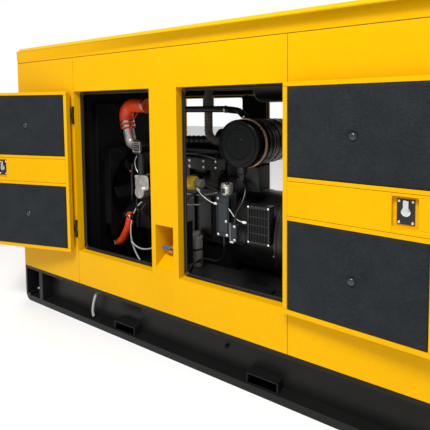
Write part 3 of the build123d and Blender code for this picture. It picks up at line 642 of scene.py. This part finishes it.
def pad_mesh(x0, x1, z0, z1, yb, yf, bx, bz, seed):
    """Firm foam slab: rounded edges, a soft crown and a dimple pulled in round its button."""
    me = Mesh()
    bm = me.bm
    nx, nz = 90, 60
    rnd = random.Random(seed)
    lumps = [(rnd.uniform(x0, x1), rnd.uniform(z0, z1), rnd.uniform(0.05, 0.12), rnd.uniform(-0.0007, 0.0007))
             for _ in range(9)]
    edge = 0.009

    def spread(a, b, n):
        w = b - a
        inner = [a + edge + (w - 2 * edge) * i / (n - 6.0) for i in range(n - 5)]
        return [a, a + edge * 0.12, a + edge * 0.45] + inner + [b - edge * 0.45, b - edge * 0.12, b]
    xs, zs = spread(x0, x1, nx), spread(z0, z1, nz)
    depth = yf - yb
    top = []
    for z in zs:
        row = []
        for x in xs:
            d = min(x - x0, x1 - x, z - z0, z1 - z)
            t = min(1.0, max(0.0, d / edge))
            round_ = math.sqrt(max(0.0, 1 - (1 - t) ** 2))
            sx_ = math.sin(math.pi * (x - x0) / (x1 - x0))
            sz_ = math.sin(math.pi * (z - z0) / (z1 - z0))
            h = depth - 0.008 + 0.008 * round_ - 0.0022 + 0.0022 * (sx_ * sz_) ** 0.35
            rr = math.hypot(x - bx, z - bz)
            h -= 0.0105 * math.exp(-(rr / 0.027) ** 4) + 0.0020 * math.exp(-(rr / 0.080) ** 2)
            for lx_, lz_, lr, lh in lumps:
                h += lh * math.exp(-((x - lx_) ** 2 + (z - lz_) ** 2) / lr ** 2)
            h = min(h, depth)
            row.append(bm.verts.new((x, yb + h, z)))
        top.append(row)
    for r1, r2 in zip(top, top[1:]):
        for k in range(len(r1) - 1):
            bm.faces.new((r1[k], r1[k + 1], r2[k + 1], r2[k]))
    rim = [top[0][k] for k in range(len(xs))] + [top[j][-1] for j in range(1, len(zs))] + \
          [top[-1][k] for k in range(len(xs) - 2, -1, -1)] + [top[j][0] for j in range(len(zs) - 2, 0, -1)]
    low = [bm.verts.new((v.co.x, yb, v.co.z)) for v in rim]
    n = len(rim)
    for k in range(n):
        bm.faces.new((rim[k], low[k], low[(k + 1) % n], rim[(k + 1) % n]))
    bm.faces.new(low)
    return me


for tag, (hx, sx, wid, ang, bzs) in DOORS.items():
    e0 = hx + sx * OFF
    y0 = -0.574
    y1 = y0 + 0.014
    y2 = y1 + 0.021
    lx = wid - LIN
    lxa = e0 + sx * lx

    def X(u):
        return e0 + sx * u
    for side, mir in (("front", False), ("rear", True)):
        nm = "door_%s_%s" % (side, tag)
        body = "service_door_%s_%s" % (side, tag)
        kw = dict(body=body, turn=(hx, AY, -sx * ang), mirror=mir)
        d = Mesh()
        g1 = 0.0018
        # outer skin with a hemmed edge, and the folded frame inside it
        d.box(X(0), X(wid), y0, y1 - 0.0008, DZ0, DZ1)
        d.box(X(0), X(wid), y1, y2, PUP[1] + 0.002, DZ1)
        d.box(X(0), X(wid), y1, y2, DZ0, PLO[0] - 0.002)
        d.box(X(0), X(0.024), y1, y2, PLO[0] - 0.0009, PUP[1] + 0.0009)
        d.box(X(wid - 0.024), X(wid), y1, y2, PLO[0] - 0.0009, PUP[1] + 0.0009)
        zt, zb = 1.213, 1.041
        d.box(X(0.0248), X(wid - 0.0248), y1, y2 - 0.001, zt + g1, RB[1])
        d.box(X(0.0248), X(wid - 0.0248), y1, y2 - 0.001, RB[0], zb - g1)
        d.box(X(0.0248), X(lx - 0.055), y1, y2, zb, zt)
        d.box(X(lx + 0.055), X(wid - 0.0248), y1, y2, LZ - 0.068, LZ + 0.068)
        d.box(X(lx - 0.055), X(wid - 0.0248), y1, y2, LZ + 0.068, zt)
        d.box(X(lx - 0.055), X(wid - 0.0248), y1, y2, zb, LZ - 0.068)
        d.done(nm + "_folded_panel", YELLOW, replaces=(nm,), bevel=0.0018, segs=2, **kw)
        # raised lip round the latch recess
        q = Mesh()
        q.ring_plate(rounded(lxa - 0.0585, lxa + 0.0585, LZ - 0.0715, LZ + 0.0715, 0.012),
                     rounded(lxa - 0.0545, lxa + 0.0545, LZ - 0.0675, LZ + 0.0675, 0.009), y1, y2 + 0.0006)
        q.done(nm + "_latch_recess", YELLOW, bevel=0.0008, **kw)
        # round escutcheon and screws on the lock plate
        k = Mesh()
        for dx in (-0.028, 0.028):
            for dz in (-0.045, 0.045):
                k.lathe([(0, 0), (0.0062, 0), (0.0062, 0.0012), (0.0045, 0.0030), (0, 0.0034)],
                        (lxa + dx, y1 + 0.004, LZ + dz), (0, 1, 0), 20)
        k.lathe([(0.0105, 0), (0.019, 0), (0.020, 0.0012), (0.0195, 0.0036), (0.0165, 0.0052), (0.0108, 0.0052),
                 (0.0105, 0)], (lxa, y1 + 0.004, LZ), (0, 1, 0), 40)
        k.done(nm + "_latch_screws", STEEL, **kw)
        pads, buttons = [], Mesh()
        for i, ((z0, z1), bz) in enumerate(zip((PUP, PLO), bzs)):
            bx = X(wid / 2)
            x0, x1 = sorted((X(0.026), X(wid - 0.026)))
            pm = pad_mesh(x0, x1, z0, z1, y1, y1 + 0.024, bx, bz, 11 + i)
            ob = pm.done(nm + ("_upper_pad" if i == 0 else "_lower_pad"), PAD, angle=80, **kw)
            if i == 0:
                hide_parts(nm + "_foam_pads")
            buttons.lathe([(0, 0), (0.0185, 0), (0.0198, 0.0015), (0.0196, 0.0045), (0.0178, 0.0085), (0.0140, 0.0118),
                           (0.0085, 0.0138), (0, 0.0146)], (bx, y1 + 0.0125, bz), (0, 1, 0), 40)
        buttons.done(nm + "_pad_buttons", BUTTON, angle=60, **kw)

# ----------------------------------------------------------------- air cleaner
AX, AZ = 0.272, 1.357
c = Mesh()
c.lathe([(0, 0.0042), (0.010, 0.0042), (0.012, 0.0010), (0.040, 0.0012), (0.042, 0.0030), (0.086, 0.0030),
         (0.0875, 0.0002), (0.091, 0.0), (0.093, 0.0022), (0.120, 0.0022), (0.126, 0.0040), (0.1285, 0.0085),
         (0.140, 0.0100), (0.1475, 0.0150), (0.1500, 0.0230), (0.1500, 0.086), (0.1470, 0.0875)],
        (AX, -0.386, AZ), (0, 1, 0), 96)
c.done("air_cleaner_cap", GLOSS, replaces=("air_cleaner",), angle=40)
c = Mesh()
prof = [(0.1400, 0.080)]
for i in range(5):
    h0 = 0.150 + i * 0.085
    prof += [(0.1478, h0 - 0.012), (0.1478, h0 - 0.006), (0.1505, h0 - 0.003), (0.1505, h0 + 0.003),
             (0.1478, h0 + 0.006)]
prof += [(0.1478, 0.575), (0.146, 0.595), (0.136, 0.606), (0.060, 0.606), (0, 0.606)]
c.lathe(prof, (AX, -0.386, AZ), (0, 1, 0), 96)
# outlet bracket and the mounting saddle
c.box(AX - 0.060, AX + 0.060, -0.230, -0.110, 1.046, 1.200)
c.box(AX - 0.068, AX + 0.068, -0.236, -0.104, 1.046, 1.056)
c.done("air_cleaner_body", BLACK_METAL, bevel=0.0015, angle=40)
c = Mesh()
for h, w, r in ((0.088, 0.013, 0.1555),):
    c.lathe([(0.1475, h), (r, h), (r + 0.0006, h + w * 0.15), (r + 0.0006, h + w * 0.85), (r, h + w), (0.1475, h + w)],
            (AX, -0.386, AZ), (0, 1, 0), 96)
c.done("air_cleaner_clamp_ring", TAN, angle=40)
c = Mesh()
for h in (0.196, 0.290, 0.384):
    c.lathe([(0.1475, h), (0.1515, h), (0.1522, h + 0.003), (0.1522, h + 0.013), (0.1515, h + 0.016),
             (0.1475, h + 0.016)], (AX, -0.386, AZ), (0, 1, 0), 96)
c.done("air_cleaner_mounting_bands", BAND, angle=40)
c = Mesh()
for a in (20, 140, 262):
    t = math.radians(a)
    px, pz = AX + 0.1535 * math.cos(t), AZ + 0.1535 * math.sin(t)
    c.bolt((px, -0.306, pz), (math.cos(t), 0, math.sin(t)), 0.005, 0.008)
c.done("air_cleaner_clamp_bolts", STEEL)
c = Mesh()
c.lathe([(0, 0.083), (0.030, 0.083), (0.034, 0.074), (0.033, 0.052), (0.026, 0.046), (0.027, 0.040), (0.021, 0.028),
         (0.013, 0.008), (0.010, 0.0), (0, 0.0)], (0.281, -0.345, 1.130), (0, 0, 1), 40,
        squash=lambda a, h: 1.0 if h > 0.04 else 0.55 + 0.45 * abs(math.cos(a)))
c.done("air_cleaner_dust_valve", RUBBER, angle=50)

# ----------------------------------------------------------------- intake hose
line = arcs([(-0.560, -0.175, 1.572), (0.030, -0.175, 1.572), (0.150, -0.178, 1.560), (0.208, -0.180, 1.512)],
            [0.090, 0.060], 0.003)


def ribbed(t, a=0.78, b=0.985, n=26):
    if a < t < b:
        return 0.0212 + 0.0022 * math.cos(2 * math.pi * n * (t - a) / (b - a))
    return 0.0222


h = Mesh()
h.sweep(line, ribbed, 24)
h.done("intake_hose_tube", RUBBER, replaces=("intake_hose",), angle=70)
c = Mesh()
for i in (4, int(len(line) * 0.77), len(line) - 5):
    ax_ = (line[min(i + 2, len(line) - 1)] - line[i - 2]).normalized()
    c.lathe([(0.0215, -0.006), (0.0246, -0.006), (0.0250, -0.005), (0.0250, 0.005), (0.0246, 0.006), (0.0215, 0.006)],
            line[i], ax_, 36)
c.done("intake_hose_clamps", STEEL, angle=40)

# --------------------------------------------------------------------- exhaust
TX, TY, TZ = -0.052, -0.060, 1.345
line = arcs([(TX - 0.062, TY, TZ), (-0.200, TY, TZ), (-0.200, TY, 1.745), (-0.200, 0.100, 1.745),
             (0.150, 0.100, 1.745)], [0.072, 0.074, 0.074], 0.006)
e = Mesh()
L_ = len(line)


def lagged(t):
    return 0.0300 + 0.0010 * math.sin(t * 240.0) + 0.0007 * math.sin(t * 611.0 + 1.0)


e.sweep(line, lagged, 32)
e.sweep([Vector((-0.200, TY, 1.575)) + Vector((0, 0, 0.093)) * k / 30 for k in range(31)],
        lambda t: 0.0400 + 0.0012 * math.sin(t * 31.0), 36)
e.done("exhaust_lagged_pipe", LAG, replaces=("exhaust_system",), angle=70)
e = Mesh()
e.lathe([(0, 0), (0.105, 0), (0.117, 0.004), (0.1245, 0.014), (0.1250, 0.020), (0.1235, 0.030), (0.1235, 0.870),
         (0.1250, 0.880), (0.1245, 0.886), (0.117, 0.896), (0.105, 0.900), (0, 0.900)], (0.150, 0.100, 1.745), (1, 0, 0),
        72)
for xo in (0.20, 0.70):
    e.lathe([(0.1235, xo), (0.1260, xo), (0.1260, xo + 0.035), (0.1235, xo + 0.035)], (0.150, 0.100, 1.745), (1, 0, 0),
            72)
e.sweep(arcs([(1.050, 0.100, 1.745), (1.150, 0.100, 1.745), (1.150, 0.100, 2.104)], [0.080], 0.006), 0.0495, 36)
e.done("exhaust_silencer", ENGINE, angle=40)
e = Mesh()
e.lathe([(0.0455, 0), (0.0500, 0), (0.0500, 0.036), (0.0455, 0.036), (0.0455, 0)], (1.150, 0.100, 2.069), (0, 0, 1), 48)
e.lathe([(0.051, 0), (0.082, 0), (0.083, 0.001), (0.076, 0.005), (0.056, 0.009), (0.051, 0.009), (0.051, 0)],
        (1.150, 0.100, 2.060), (0, 0, 1), 48)
for ys in (-1, 1):
    e.box(1.216, 1.232, 0.100 + ys * 0.044, 0.100 + ys * 0.052, 2.060, 2.113)
e.lathe([(0, 0), (0.004, 0), (0.004, 0.100), (0, 0.100)], (1.224, 0.050, 2.109), (0, 1, 0), 16)
e.done("exhaust_outlet_collar", GALV, bevel=0.0008)

# ------------------------------------------------------------ charge-air hoses
up_ = arcs([(-0.600, -0.265, 1.598), (-0.850, -0.265, 1.606), (-0.813, -0.265, 1.428)], [0.078], 0.004)
lo_ = smooth_line([(-0.990, -0.250, 0.505), (-0.960, -0.250, 0.516), (-0.925, -0.250, 0.540), (-0.890, -0.250, 0.592),
                   (-0.856, -0.250, 0.655), (-0.836, -0.250, 0.712), (-0.823, -0.250, 0.760)], 12)
h = Mesh()
h.sweep(up_, lambda t: 0.0510 + (0.0020 if t < 0.025 or t > 0.975 else 0.0), 40)
h.sweep(lo_, lambda t: 0.0300 + (0.0018 if t < 0.04 or t > 0.96 else 0.0), 32)
h.done("charge_air_hose_skins", ORANGE, replaces=("charge_air_hoses",), angle=70)
c = Mesh()
for ln, r, where in ((up_, 0.0515, (5, -5, -13)), (lo_, 0.0305, (4, -4))):
    for i in where:
        i = i if i > 0 else len(ln) + i
        ax_ = (ln[min(i + 2, len(ln) - 1)] - ln[i - 2]).normalized()
        c.lathe([(r - 0.001, -0.0065), (r + 0.0018, -0.0065), (r + 0.0022, -0.005), (r + 0.0022, 0.005),
                 (r + 0.0018, 0.0065), (r - 0.001, 0.0065)], ln[i], ax_, 48)
        side = ax_.cross(Vector((0, 1, 0))).normalized()
        p = ln[i] + Vector((0, -1, 0)) * (r + 0.003)
        c.sweep([p - side * 0.014, p + side * 0.014], 0.0048, 12)
        c.bolt(p + side * 0.014, side, 0.0042, 0.005)
c.done("charge_air_hose_clamps", STEEL, angle=40)

# -------------------------------------------------- coolant housing front plate
p = Mesh()
p.ring_plate(rounded(-0.692, -0.618, 1.258, 1.332, 0.012), rounded(-0.6855, -0.6245, 1.2645, 1.3255, 0.008), -0.3335,
             -0.3300)
for i in range(3):
    z = 1.282 + i * 0.0165
    p.box(-0.678, -0.632 - (0.012 if i == 1 else 0), -0.3322, -0.3300, z - 0.0022, z + 0.0022)
p.done("coolant_housing_plate", GALV, bevel=0.0006)
p = Mesh()
for a in (45, 135, 225, 315):
    t = math.radians(a)
    p.bolt((-0.655 + 0.0465 * math.cos(t), -0.330, 1.295 + 0.0465 * math.sin(t)), (0, -1, 0), 0.0045, 0.004)
for (x, z) in ((-0.690, 1.072), (-0.668, 0.992), (-0.585, 1.070), (-0.592, 0.990), (-0.640, 1.030)):
    p.bolt((x, -0.312, z), (0, -1, 0), 0.0075, 0.008)
for x in (-0.55, -0.43, -0.31, -0.19, -0.07, 0.03):
    p.bolt((x, -0.285, 1.222), (0, -1, 0), 0.0065, 0.007)
    p.bolt((x, -0.285, 1.182), (0, -1, 0), 0.0065, 0.007)
p.done("engine_bolts", STEEL)

# ------------------------------------------------------------------- filters
f = Mesh()
f.lathe([(0, 0), (0.038, 0), (0.046, 0.004), (0.0495, 0.012), (0.0495, 0.050), (0.046, 0.060), (0.040, 0.066),
         (0, 0.068)], (-0.218, -0.262, 1.062), (1, 0, 0), 72,
        squash=lambda a, h_: 1.0 - (0.05 if (0.006 < h_ < 0.055 and math.cos(14 * a) > 0.2) else 0.0))
f.done("fuel_filter_cap", LABEL_YELLOW, angle=28)
f = Mesh()
f.lathe([(0, 0), (0.030, 0), (0.0315, 0.003), (0.0315, 0.014), (0.0295, 0.016), (0.0295, 0.040), (0.0315, 0.043),
         (0.0315, 0.048), (0.028, 0.052), (0, 0.052)], (-0.150, -0.262, 1.062), (1, 0, 0), 48)
f.lathe([(0, 0), (0.036, 0.0), (0.045, 0.006), (0.0478, 0.018), (0.0478, 0.186), (0.0462, 0.194), (0.0478, 0.199),
         (0.0478, 0.206), (0.044, 0.210), (0, 0.210)], (-0.162, -0.262, 0.478), (0, 0, 1), 64)
f.lathe([(0.029, 0), (0.0298, 0.004), (0.0298, 0.026), (0.024, 0.032), (0, 0.032)], (-0.162, -0.262, 0.688), (0, 0, 1),
        40)
f.done("filter_canisters", FILTER_GREY, replaces=("engine_filters",), angle=35)
f = Mesh()
n_ = 20
rows = []
for z in (0.508, 0.655):
    rows.append([f.bm.verts.new((-0.162 + 0.0481 * math.cos(math.radians(195 + 67 * k / n_)),
                                 -0.262 + 0.0481 * math.sin(math.radians(195 + 67 * k / n_)), z))
                 for k in range(n_ + 1)])
for k in range(n_):
    f.bm.faces.new((rows[0][k], rows[0][k + 1], rows[1][k + 1], rows[1][k]))
f.done("canister_band", LABEL_YELLOW, angle=60)
f = Mesh()
f.lathe([(0.0478, 0), (0.0492, 0.001), (0.0492, 0.013), (0.0478, 0.014)], (-0.162, -0.262, 0.598), (0, 0, 1), 64)
f.box(-0.168, -0.156, -0.318, -0.306, 0.594, 0.616)
f.done("canister_strap", PLASTIC, bevel=0.0008)

# ---------------------------------------------------------- control unit group
u = Mesh()
u.plate(rounded(0.112, 0.205, 0.770, 1.028, 0.010), -0.378, -0.371)
u.box(0.112, 0.118, -0.386, -0.371, 0.782, 1.016)
u.box(0.199, 0.205, -0.387, -0.371, 0.782, 1.016)
u.plate(rounded(0.126, 0.192, 0.800, 0.990, 0.006), -0.3845, -0.3775)
u.box(0.122, 0.206, -0.388, -0.300, 1.028, 1.034)
u.box(0.120, 0.200, -0.370, -0.268, 0.800, 0.820)
u.done("control_unit_plate", SLATE, replaces=("engine_control_box",), bevel=0.0012)
u = Mesh()
u.plate(rounded(0.218, 0.261, 0.752, 0.860, 0.006), -0.386, -0.357)
u.box(0.205, 0.222, -0.380, -0.374, 0.820, 0.850)
for i in range(4):
    u.box(0.2245, 0.2545, -0.3878, -0.386, 0.770 + i * 0.020, 0.780 + i * 0.020)
u.done("relay_box", SLATE, bevel=0.0012)
u = Mesh()
u.box(0.214, 0.2165, -0.387, -0.352, 0.744, 0.868)
u.box(0.214, 0.240, -0.3885, -0.386, 0.744, 0.756)
for (x, z) in ((0.184, 0.872), (0.190, 0.786), (0.124, 1.012), (0.124, 0.784), (0.247, 0.765), (0.247, 0.848)):
    u.bolt((x, -0.385, z), (0, -1, 0), 0.0058, 0.005)
u.done("control_unit_fixings", STEEL, bevel=0.0005)
u = Mesh()
u.lathe([(0, 0), (0.0365, 0), (0.038, 0.003), (0.038, 0.046), (0.0355, 0.049), (0.0355, 0.056), (0.037, 0.058),
         (0.037, 0.066), (0.033, 0.070), (0.016, 0.070), (0.015, 0.074), (0, 0.074)], (0.165, -0.345, 1.034), (0, 0, 1),
        56)
u.done("pressure_sender_body", ALU, angle=35)
u = Mesh()
u.lathe([(0, 0), (0.012, 0), (0.013, 0.003), (0.013, 0.010), (0.010, 0.014), (0, 0.015)], (0.186, -0.372, 1.104),
        (0, 0, 1), 20)
u.box(0.150, 0.176, -0.392 + 0.008, -0.378, 1.046, 1.078)
u.done("pressure_sender_plug", PLASTIC, bevel=0.001)

# --------------------------------------------------------------- wiring looms
WIRES = [
    ("loom_white", WHITE_PLASTIC, 0.0026, [[(-0.118, -0.300, 1.040), (-0.060, -0.330, 1.010), (0.010, -0.350, 0.985),
                                            (0.070, -0.372, 0.975), (0.112, -0.382, 0.975)],
                                           [(0.205, -0.384, 0.955), (0.222, -0.386, 0.940), (0.240, -0.372, 0.905),
                                            (0.262, -0.356, 0.880), (0.290, -0.345, 0.872)]]),
    ("loom_black", PLASTIC, 0.0075, [
        [(-0.100, -0.240, 1.110), (-0.020, -0.300, 1.060), (0.060, -0.330, 1.052), (0.140, -0.352, 1.030)],
        [(0.240, -0.372, 0.866), (0.252, -0.368, 0.930), (0.275, -0.330, 1.000), (0.260, -0.280, 1.080),
         (0.180, -0.240, 1.140)],
        [(0.150, -0.360, 0.770), (0.146, -0.352, 0.700), (0.120, -0.320, 0.620), (0.040, -0.290, 0.560),
         (-0.080, -0.282, 0.548), (-0.150, -0.300, 0.500), (-0.180, -0.330, 0.420)],
        [(-0.560, -0.300, 1.250), (-0.450, -0.298, 1.275), (-0.300, -0.292, 1.262), (-0.120, -0.290, 1.270),
         (0.040, -0.262, 1.232)],
        [(-0.230, -0.290, 0.900), (-0.200, -0.300, 0.960), (-0.120, -0.296, 1.000), (-0.060, -0.270, 0.980)],
        [(-0.745, -0.290, 1.160), (-0.735, -0.310, 1.080), (-0.722, -0.320, 1.000), (-0.735, -0.310, 0.930),
         (-0.760, -0.290, 0.870)],
        [(-0.600, -0.300, 0.880), (-0.640, -0.306, 0.830), (-0.690, -0.300, 0.780), (-0.700, -0.290, 0.700)]]),
    ("fuel_pipes", ALU, 0.0040, [
        [(-0.560, -0.246, 1.010), (-0.500, -0.262, 0.985), (-0.300, -0.262, 0.980), (-0.100, -0.262, 0.985),
         (0.020, -0.250, 1.010)],
        [(-0.560, -0.246, 0.930), (-0.470, -0.262, 0.905), (-0.280, -0.262, 0.900), (-0.120, -0.262, 0.915)],
        [(-0.700, -0.290, 1.225), (-0.715, -0.296, 1.180), (-0.700, -0.300, 1.130), (-0.672, -0.300, 1.095)]]),
    ("sensor_lead", ORANGE, 0.0028, [
        [(-0.700, -0.270, 1.548), (-0.712, -0.300, 1.500), (-0.728, -0.310, 1.440), (-0.742, -0.312, 1.395),
         (-0.735, -0.300, 1.350)],
        [(-0.735, -0.300, 1.120), (-0.755, -0.306, 1.105), (-0.770, -0.300, 1.108)]]),
]
for nm, mt, r, lines in WIRES:
    w = Mesh()
    for ln in lines:
        w.sweep(smooth_line(ln, 9), r, 12)
    w.done(nm, mt, angle=70)
w = Mesh()
for pos, ax_ in (((0.092, -0.379, 0.975), (1, -0.1, 0)), ((0.284, -0.350, 0.872), (1, 0.3, -0.1)),
                 ((-0.100, -0.312, 1.034), (1, -0.4, -0.3))):
    w.lathe([(0, 0), (0.0075, 0), (0.0085, 0.002), (0.0085, 0.018), (0.006, 0.020), (0.006, 0.026), (0, 0.026)], pos,
            ax_, 16)
w.done("loom_plugs", WHITE_PLASTIC, angle=35)

loops = [[(-0.640, -0.305, 0.885), (-0.690, -0.306, 0.842), (-0.727, -0.307, 0.785), (-0.752, -0.308, 0.715),
          (-0.762, -0.309, 0.655), (-0.757, -0.309, 0.590), (-0.735, -0.309, 0.525), (-0.705, -0.308, 0.475),
          (-0.664, -0.306, 0.425)],
         [(-0.742, -0.322, 0.572), (-0.712, -0.322, 0.552), (-0.670, -0.322, 0.538), (-0.630, -0.322, 0.534),
          (-0.575, -0.321, 0.541), (-0.500, -0.319, 0.566)]]
o_ = Mesh()
for ln in loops:
    o_.sweep(smooth_line(ln, 12), 0.0058, 16)
o_.done("overflow_hose_tube", GREYHOSE, replaces=("overflow_hose",), angle=70)

# ----------------------------------------------- alternator air-inlet grilles
a_ = Mesh()
b_ = Mesh()
st = Mesh()
for ys in (-1, 1):
    yo, yi, yr = ys * 0.330, ys * 0.268, ys * 0.318
    a_.box(0.306, 0.462, yi, yr, 0.742, 0.978)
    a_.box(0.306, 0.318, yr, yo, 0.742, 0.978)
    a_.box(0.450, 0.462, yr, yo, 0.742, 0.978)
    a_.box(0.318, 0.450, yr, yo, 0.960, 0.978)
    a_.box(0.318, 0.450, yr, yo, 0.742, 0.756)
    for i in range(1, 12):
        x = 0.318 + 0.132 * i / 12
        a_.box(x - 0.0022, x + 0.0022, yr, ys * 0.328, 0.756, 0.960)
    for z in (0.807, 0.858, 0.909):
        a_.box(0.318, 0.450, yr, ys * 0.3285, z - 0.003, z + 0.003)
    for x in (0.313, 0.455):
        for z in (0.969, 0.749):
            st.bolt((x, yo, z), (0, ys, 0), 0.0045, 0.004)
a_.done("alternator_inlet_grilles", BLACK_METAL, replaces=("alternator_grilles",), bevel=0.0008)
st.done("grille_bolts", STEEL)
# hoops and cooling ribs round the alternator frame
r_ = Mesh()
for x, rr, w_ in ((0.474, 0.3045, 0.020), (0.515, 0.3025, 0.012), (0.548, 0.3025, 0.012), (0.581, 0.3025, 0.012),
                  (0.870, 0.3045, 0.030), (0.256, 0.2690, 0.014), (0.448, 0.2690, 0.016)):
    base = rr - 0.012
    r_.lathe([(base, 0), (rr - 0.002, 0), (rr, 0.002), (rr, w_ - 0.002), (rr - 0.002, w_), (base, w_)],
             (x, 0, 0.740), (1, 0, 0), 96)
r_.done("alternator_frame_hoops", ENGINE, angle=35)
r_ = Mesh()
for k in range(12):
    t = math.radians(195 + 15 * k)
    r_.bolt((0.262, 0.252 * math.cos(t), 0.740 + 0.252 * math.sin(t)), (-1, 0, 0), 0.008, 0.009)
    r_.bolt((0.4705, 0.284 * math.cos(t), 0.740 + 0.284 * math.sin(t)), (-1, 0, 0), 0.008, 0.009)
r_.done("alternator_bolts", STEEL)

# ------------------------------------------ ribbed accessory drive at the front
q_ = Mesh()
for (ox, oy, oz, r, n_r, w_) in ((-0.742, -0.215, 0.985, 0.062, 6, 0.007), (-0.744, -0.130, 0.830, 0.044, 5, 0.007),
                                 (-0.746, -0.290, 0.760, 0.036, 4, 0.007)):
    pr = [(0.010, -0.004), (r * 0.55, -0.004), (r * 0.62, 0.0)]
    for i in range(n_r):
        pr += [(r, i * w_), (r - 0.004, i * w_ + w_ * 0.5)]
    pr += [(r, n_r * w_), (r * 0.6, n_r * w_ + 0.002), (0.010, n_r * w_ + 0.002)]
    q_.lathe(pr, (ox, oy, oz), (1, 0, 0), 48)
    q_.cyl(0.012, (ox - 0.008, oy, oz), (1, 0, 0), n_r * w_ + 0.020, 20)
q_.sweep(smooth_line([(-0.700, -0.296, 0.905), (-0.690, -0.306, 0.850), (-0.672, -0.308, 0.800),
                      (-0.690, -0.300, 0.742), (-0.700, -0.290, 0.690)], 9),
         lambda t: 0.012 + 0.0022 * math.cos(t * 150.0), 18)
q_.done("accessory_drive", GLOSS, angle=40)

# ------------------------------------ exhaust log and pipes along the engine top
t_ = Mesh()
t_.sweep(arcs([(-0.640, 0.010, 1.240), (-0.600, 0.010, 1.322), (-0.105, -0.010, 1.338)], [0.050], 0.006),
         lambda t: 0.040 + 0.003 * math.cos(t * 75.0), 32)
t_.sweep([(-0.640, -0.060, 1.262), (-0.300, -0.062, 1.264), (0.080, -0.060, 1.262)], 0.027, 28)
for i in range(6):
    x = -0.575 + i * 0.098
    t_.sweep([(x, 0.020, 1.165), (x, 0.018, 1.230), (x, 0.012, 1.318)], 0.023, 20)
    t_.box(x - 0.034, x + 0.034, -0.020, 0.060, 1.168, 1.182)
t_.box(-0.640, -0.010, 0.062, 0.070, 1.120, 1.352)
t_.done("exhaust_manifold_log", ENGINE, angle=45)
t_ = Mesh()
t_.box(-0.2135, -0.040, 0.4990, 0.5146, 0.552, 1.690)
t_.box(-0.0715, -0.0660, -0.5120, -0.4040, 0.5720, 0.8520)
t_.done("post_lining", LINING, bevel=0.002)

# ------------------------------------------------------------- radiator fins
r_ = Mesh()
for i in range(46):
    z = 0.440 + 1.105 * i / 45
    r_.box(-1.0098, -1.0078, -0.380, 0.380, z - 0.003, z + 0.003)
r_.done("radiator_fin_rows", COOLER, bevel=0.0005)

# ----------------------------------------------------------------- sound lining
polish("sound_lining", LINING, 0.006, 3)
polish("fan_belt", RUBBER, 0.0012)


# --------------------------------------------------------------------- stage
def stage():
    me = bpy.data.meshes.new("floor")
    bm = bmesh.new()
    bmesh.ops.create_grid(bm, x_segments=1, y_segments=1, size=30.0)
    bm.to_mesh(me)
    bm.free()
    fl = link(bpy.data.objects.new("floor", me))
    m, nt, b = new_mat("floor_pale")
    b.inputs["Base Color"].default_value = (0.93, 0.93, 0.93, 1)
    b.inputs["Roughness"].default_value = 0.6
    me.materials.append(m)


stage()
world = bpy.data.worlds.new("world")
bpy.context.scene.world = world
world.use_nodes = True
wt = world.node_tree
bg = wt.nodes["Background"]
bg.inputs["Color"].default_value = (1, 1, 1, 1)
bg.inputs["Strength"].default_value = 0.62
seen = wt.nodes.new("ShaderNodeBackground")
seen.inputs["Color"].default_value = (1, 1, 1, 1)
seen.inputs["Strength"].default_value = 1.0
path = wt.nodes.new("ShaderNodeLightPath")
wmix = wt.nodes.new("ShaderNodeMixShader")
wt.links.new(path.outputs["Is Camera Ray"], wmix.inputs["Fac"])
wt.links.new(bg.outputs["Background"], wmix.inputs[1])
wt.links.new(seen.outputs["Background"], wmix.inputs[2])
wt.links.new(wmix.outputs["Shader"], wt.nodes["World Output"].inputs["Surface"])


def area(name, loc, target, size, energy, size_y=None, color=(1, 1, 1)):
    li = bpy.data.lights.new(name, "AREA")
    li.energy = energy
    li.size = size
    li.color = color
    if size_y:
        li.shape = "RECTANGLE"
        li.size_y = size_y
    ob = link(bpy.data.objects.new(name, li))
    ob.location = loc
    ob.rotation_euler = (Vector(target) - Vector(loc)).to_track_quat("-Z", "Y").to_euler()
    return ob


area("key", (1.2, -4.2, 6.4), (0, -0.5, 0.9), 2.6, 500, 1.8)

bpy.context.scene.view_settings.view_transform = "Standard"
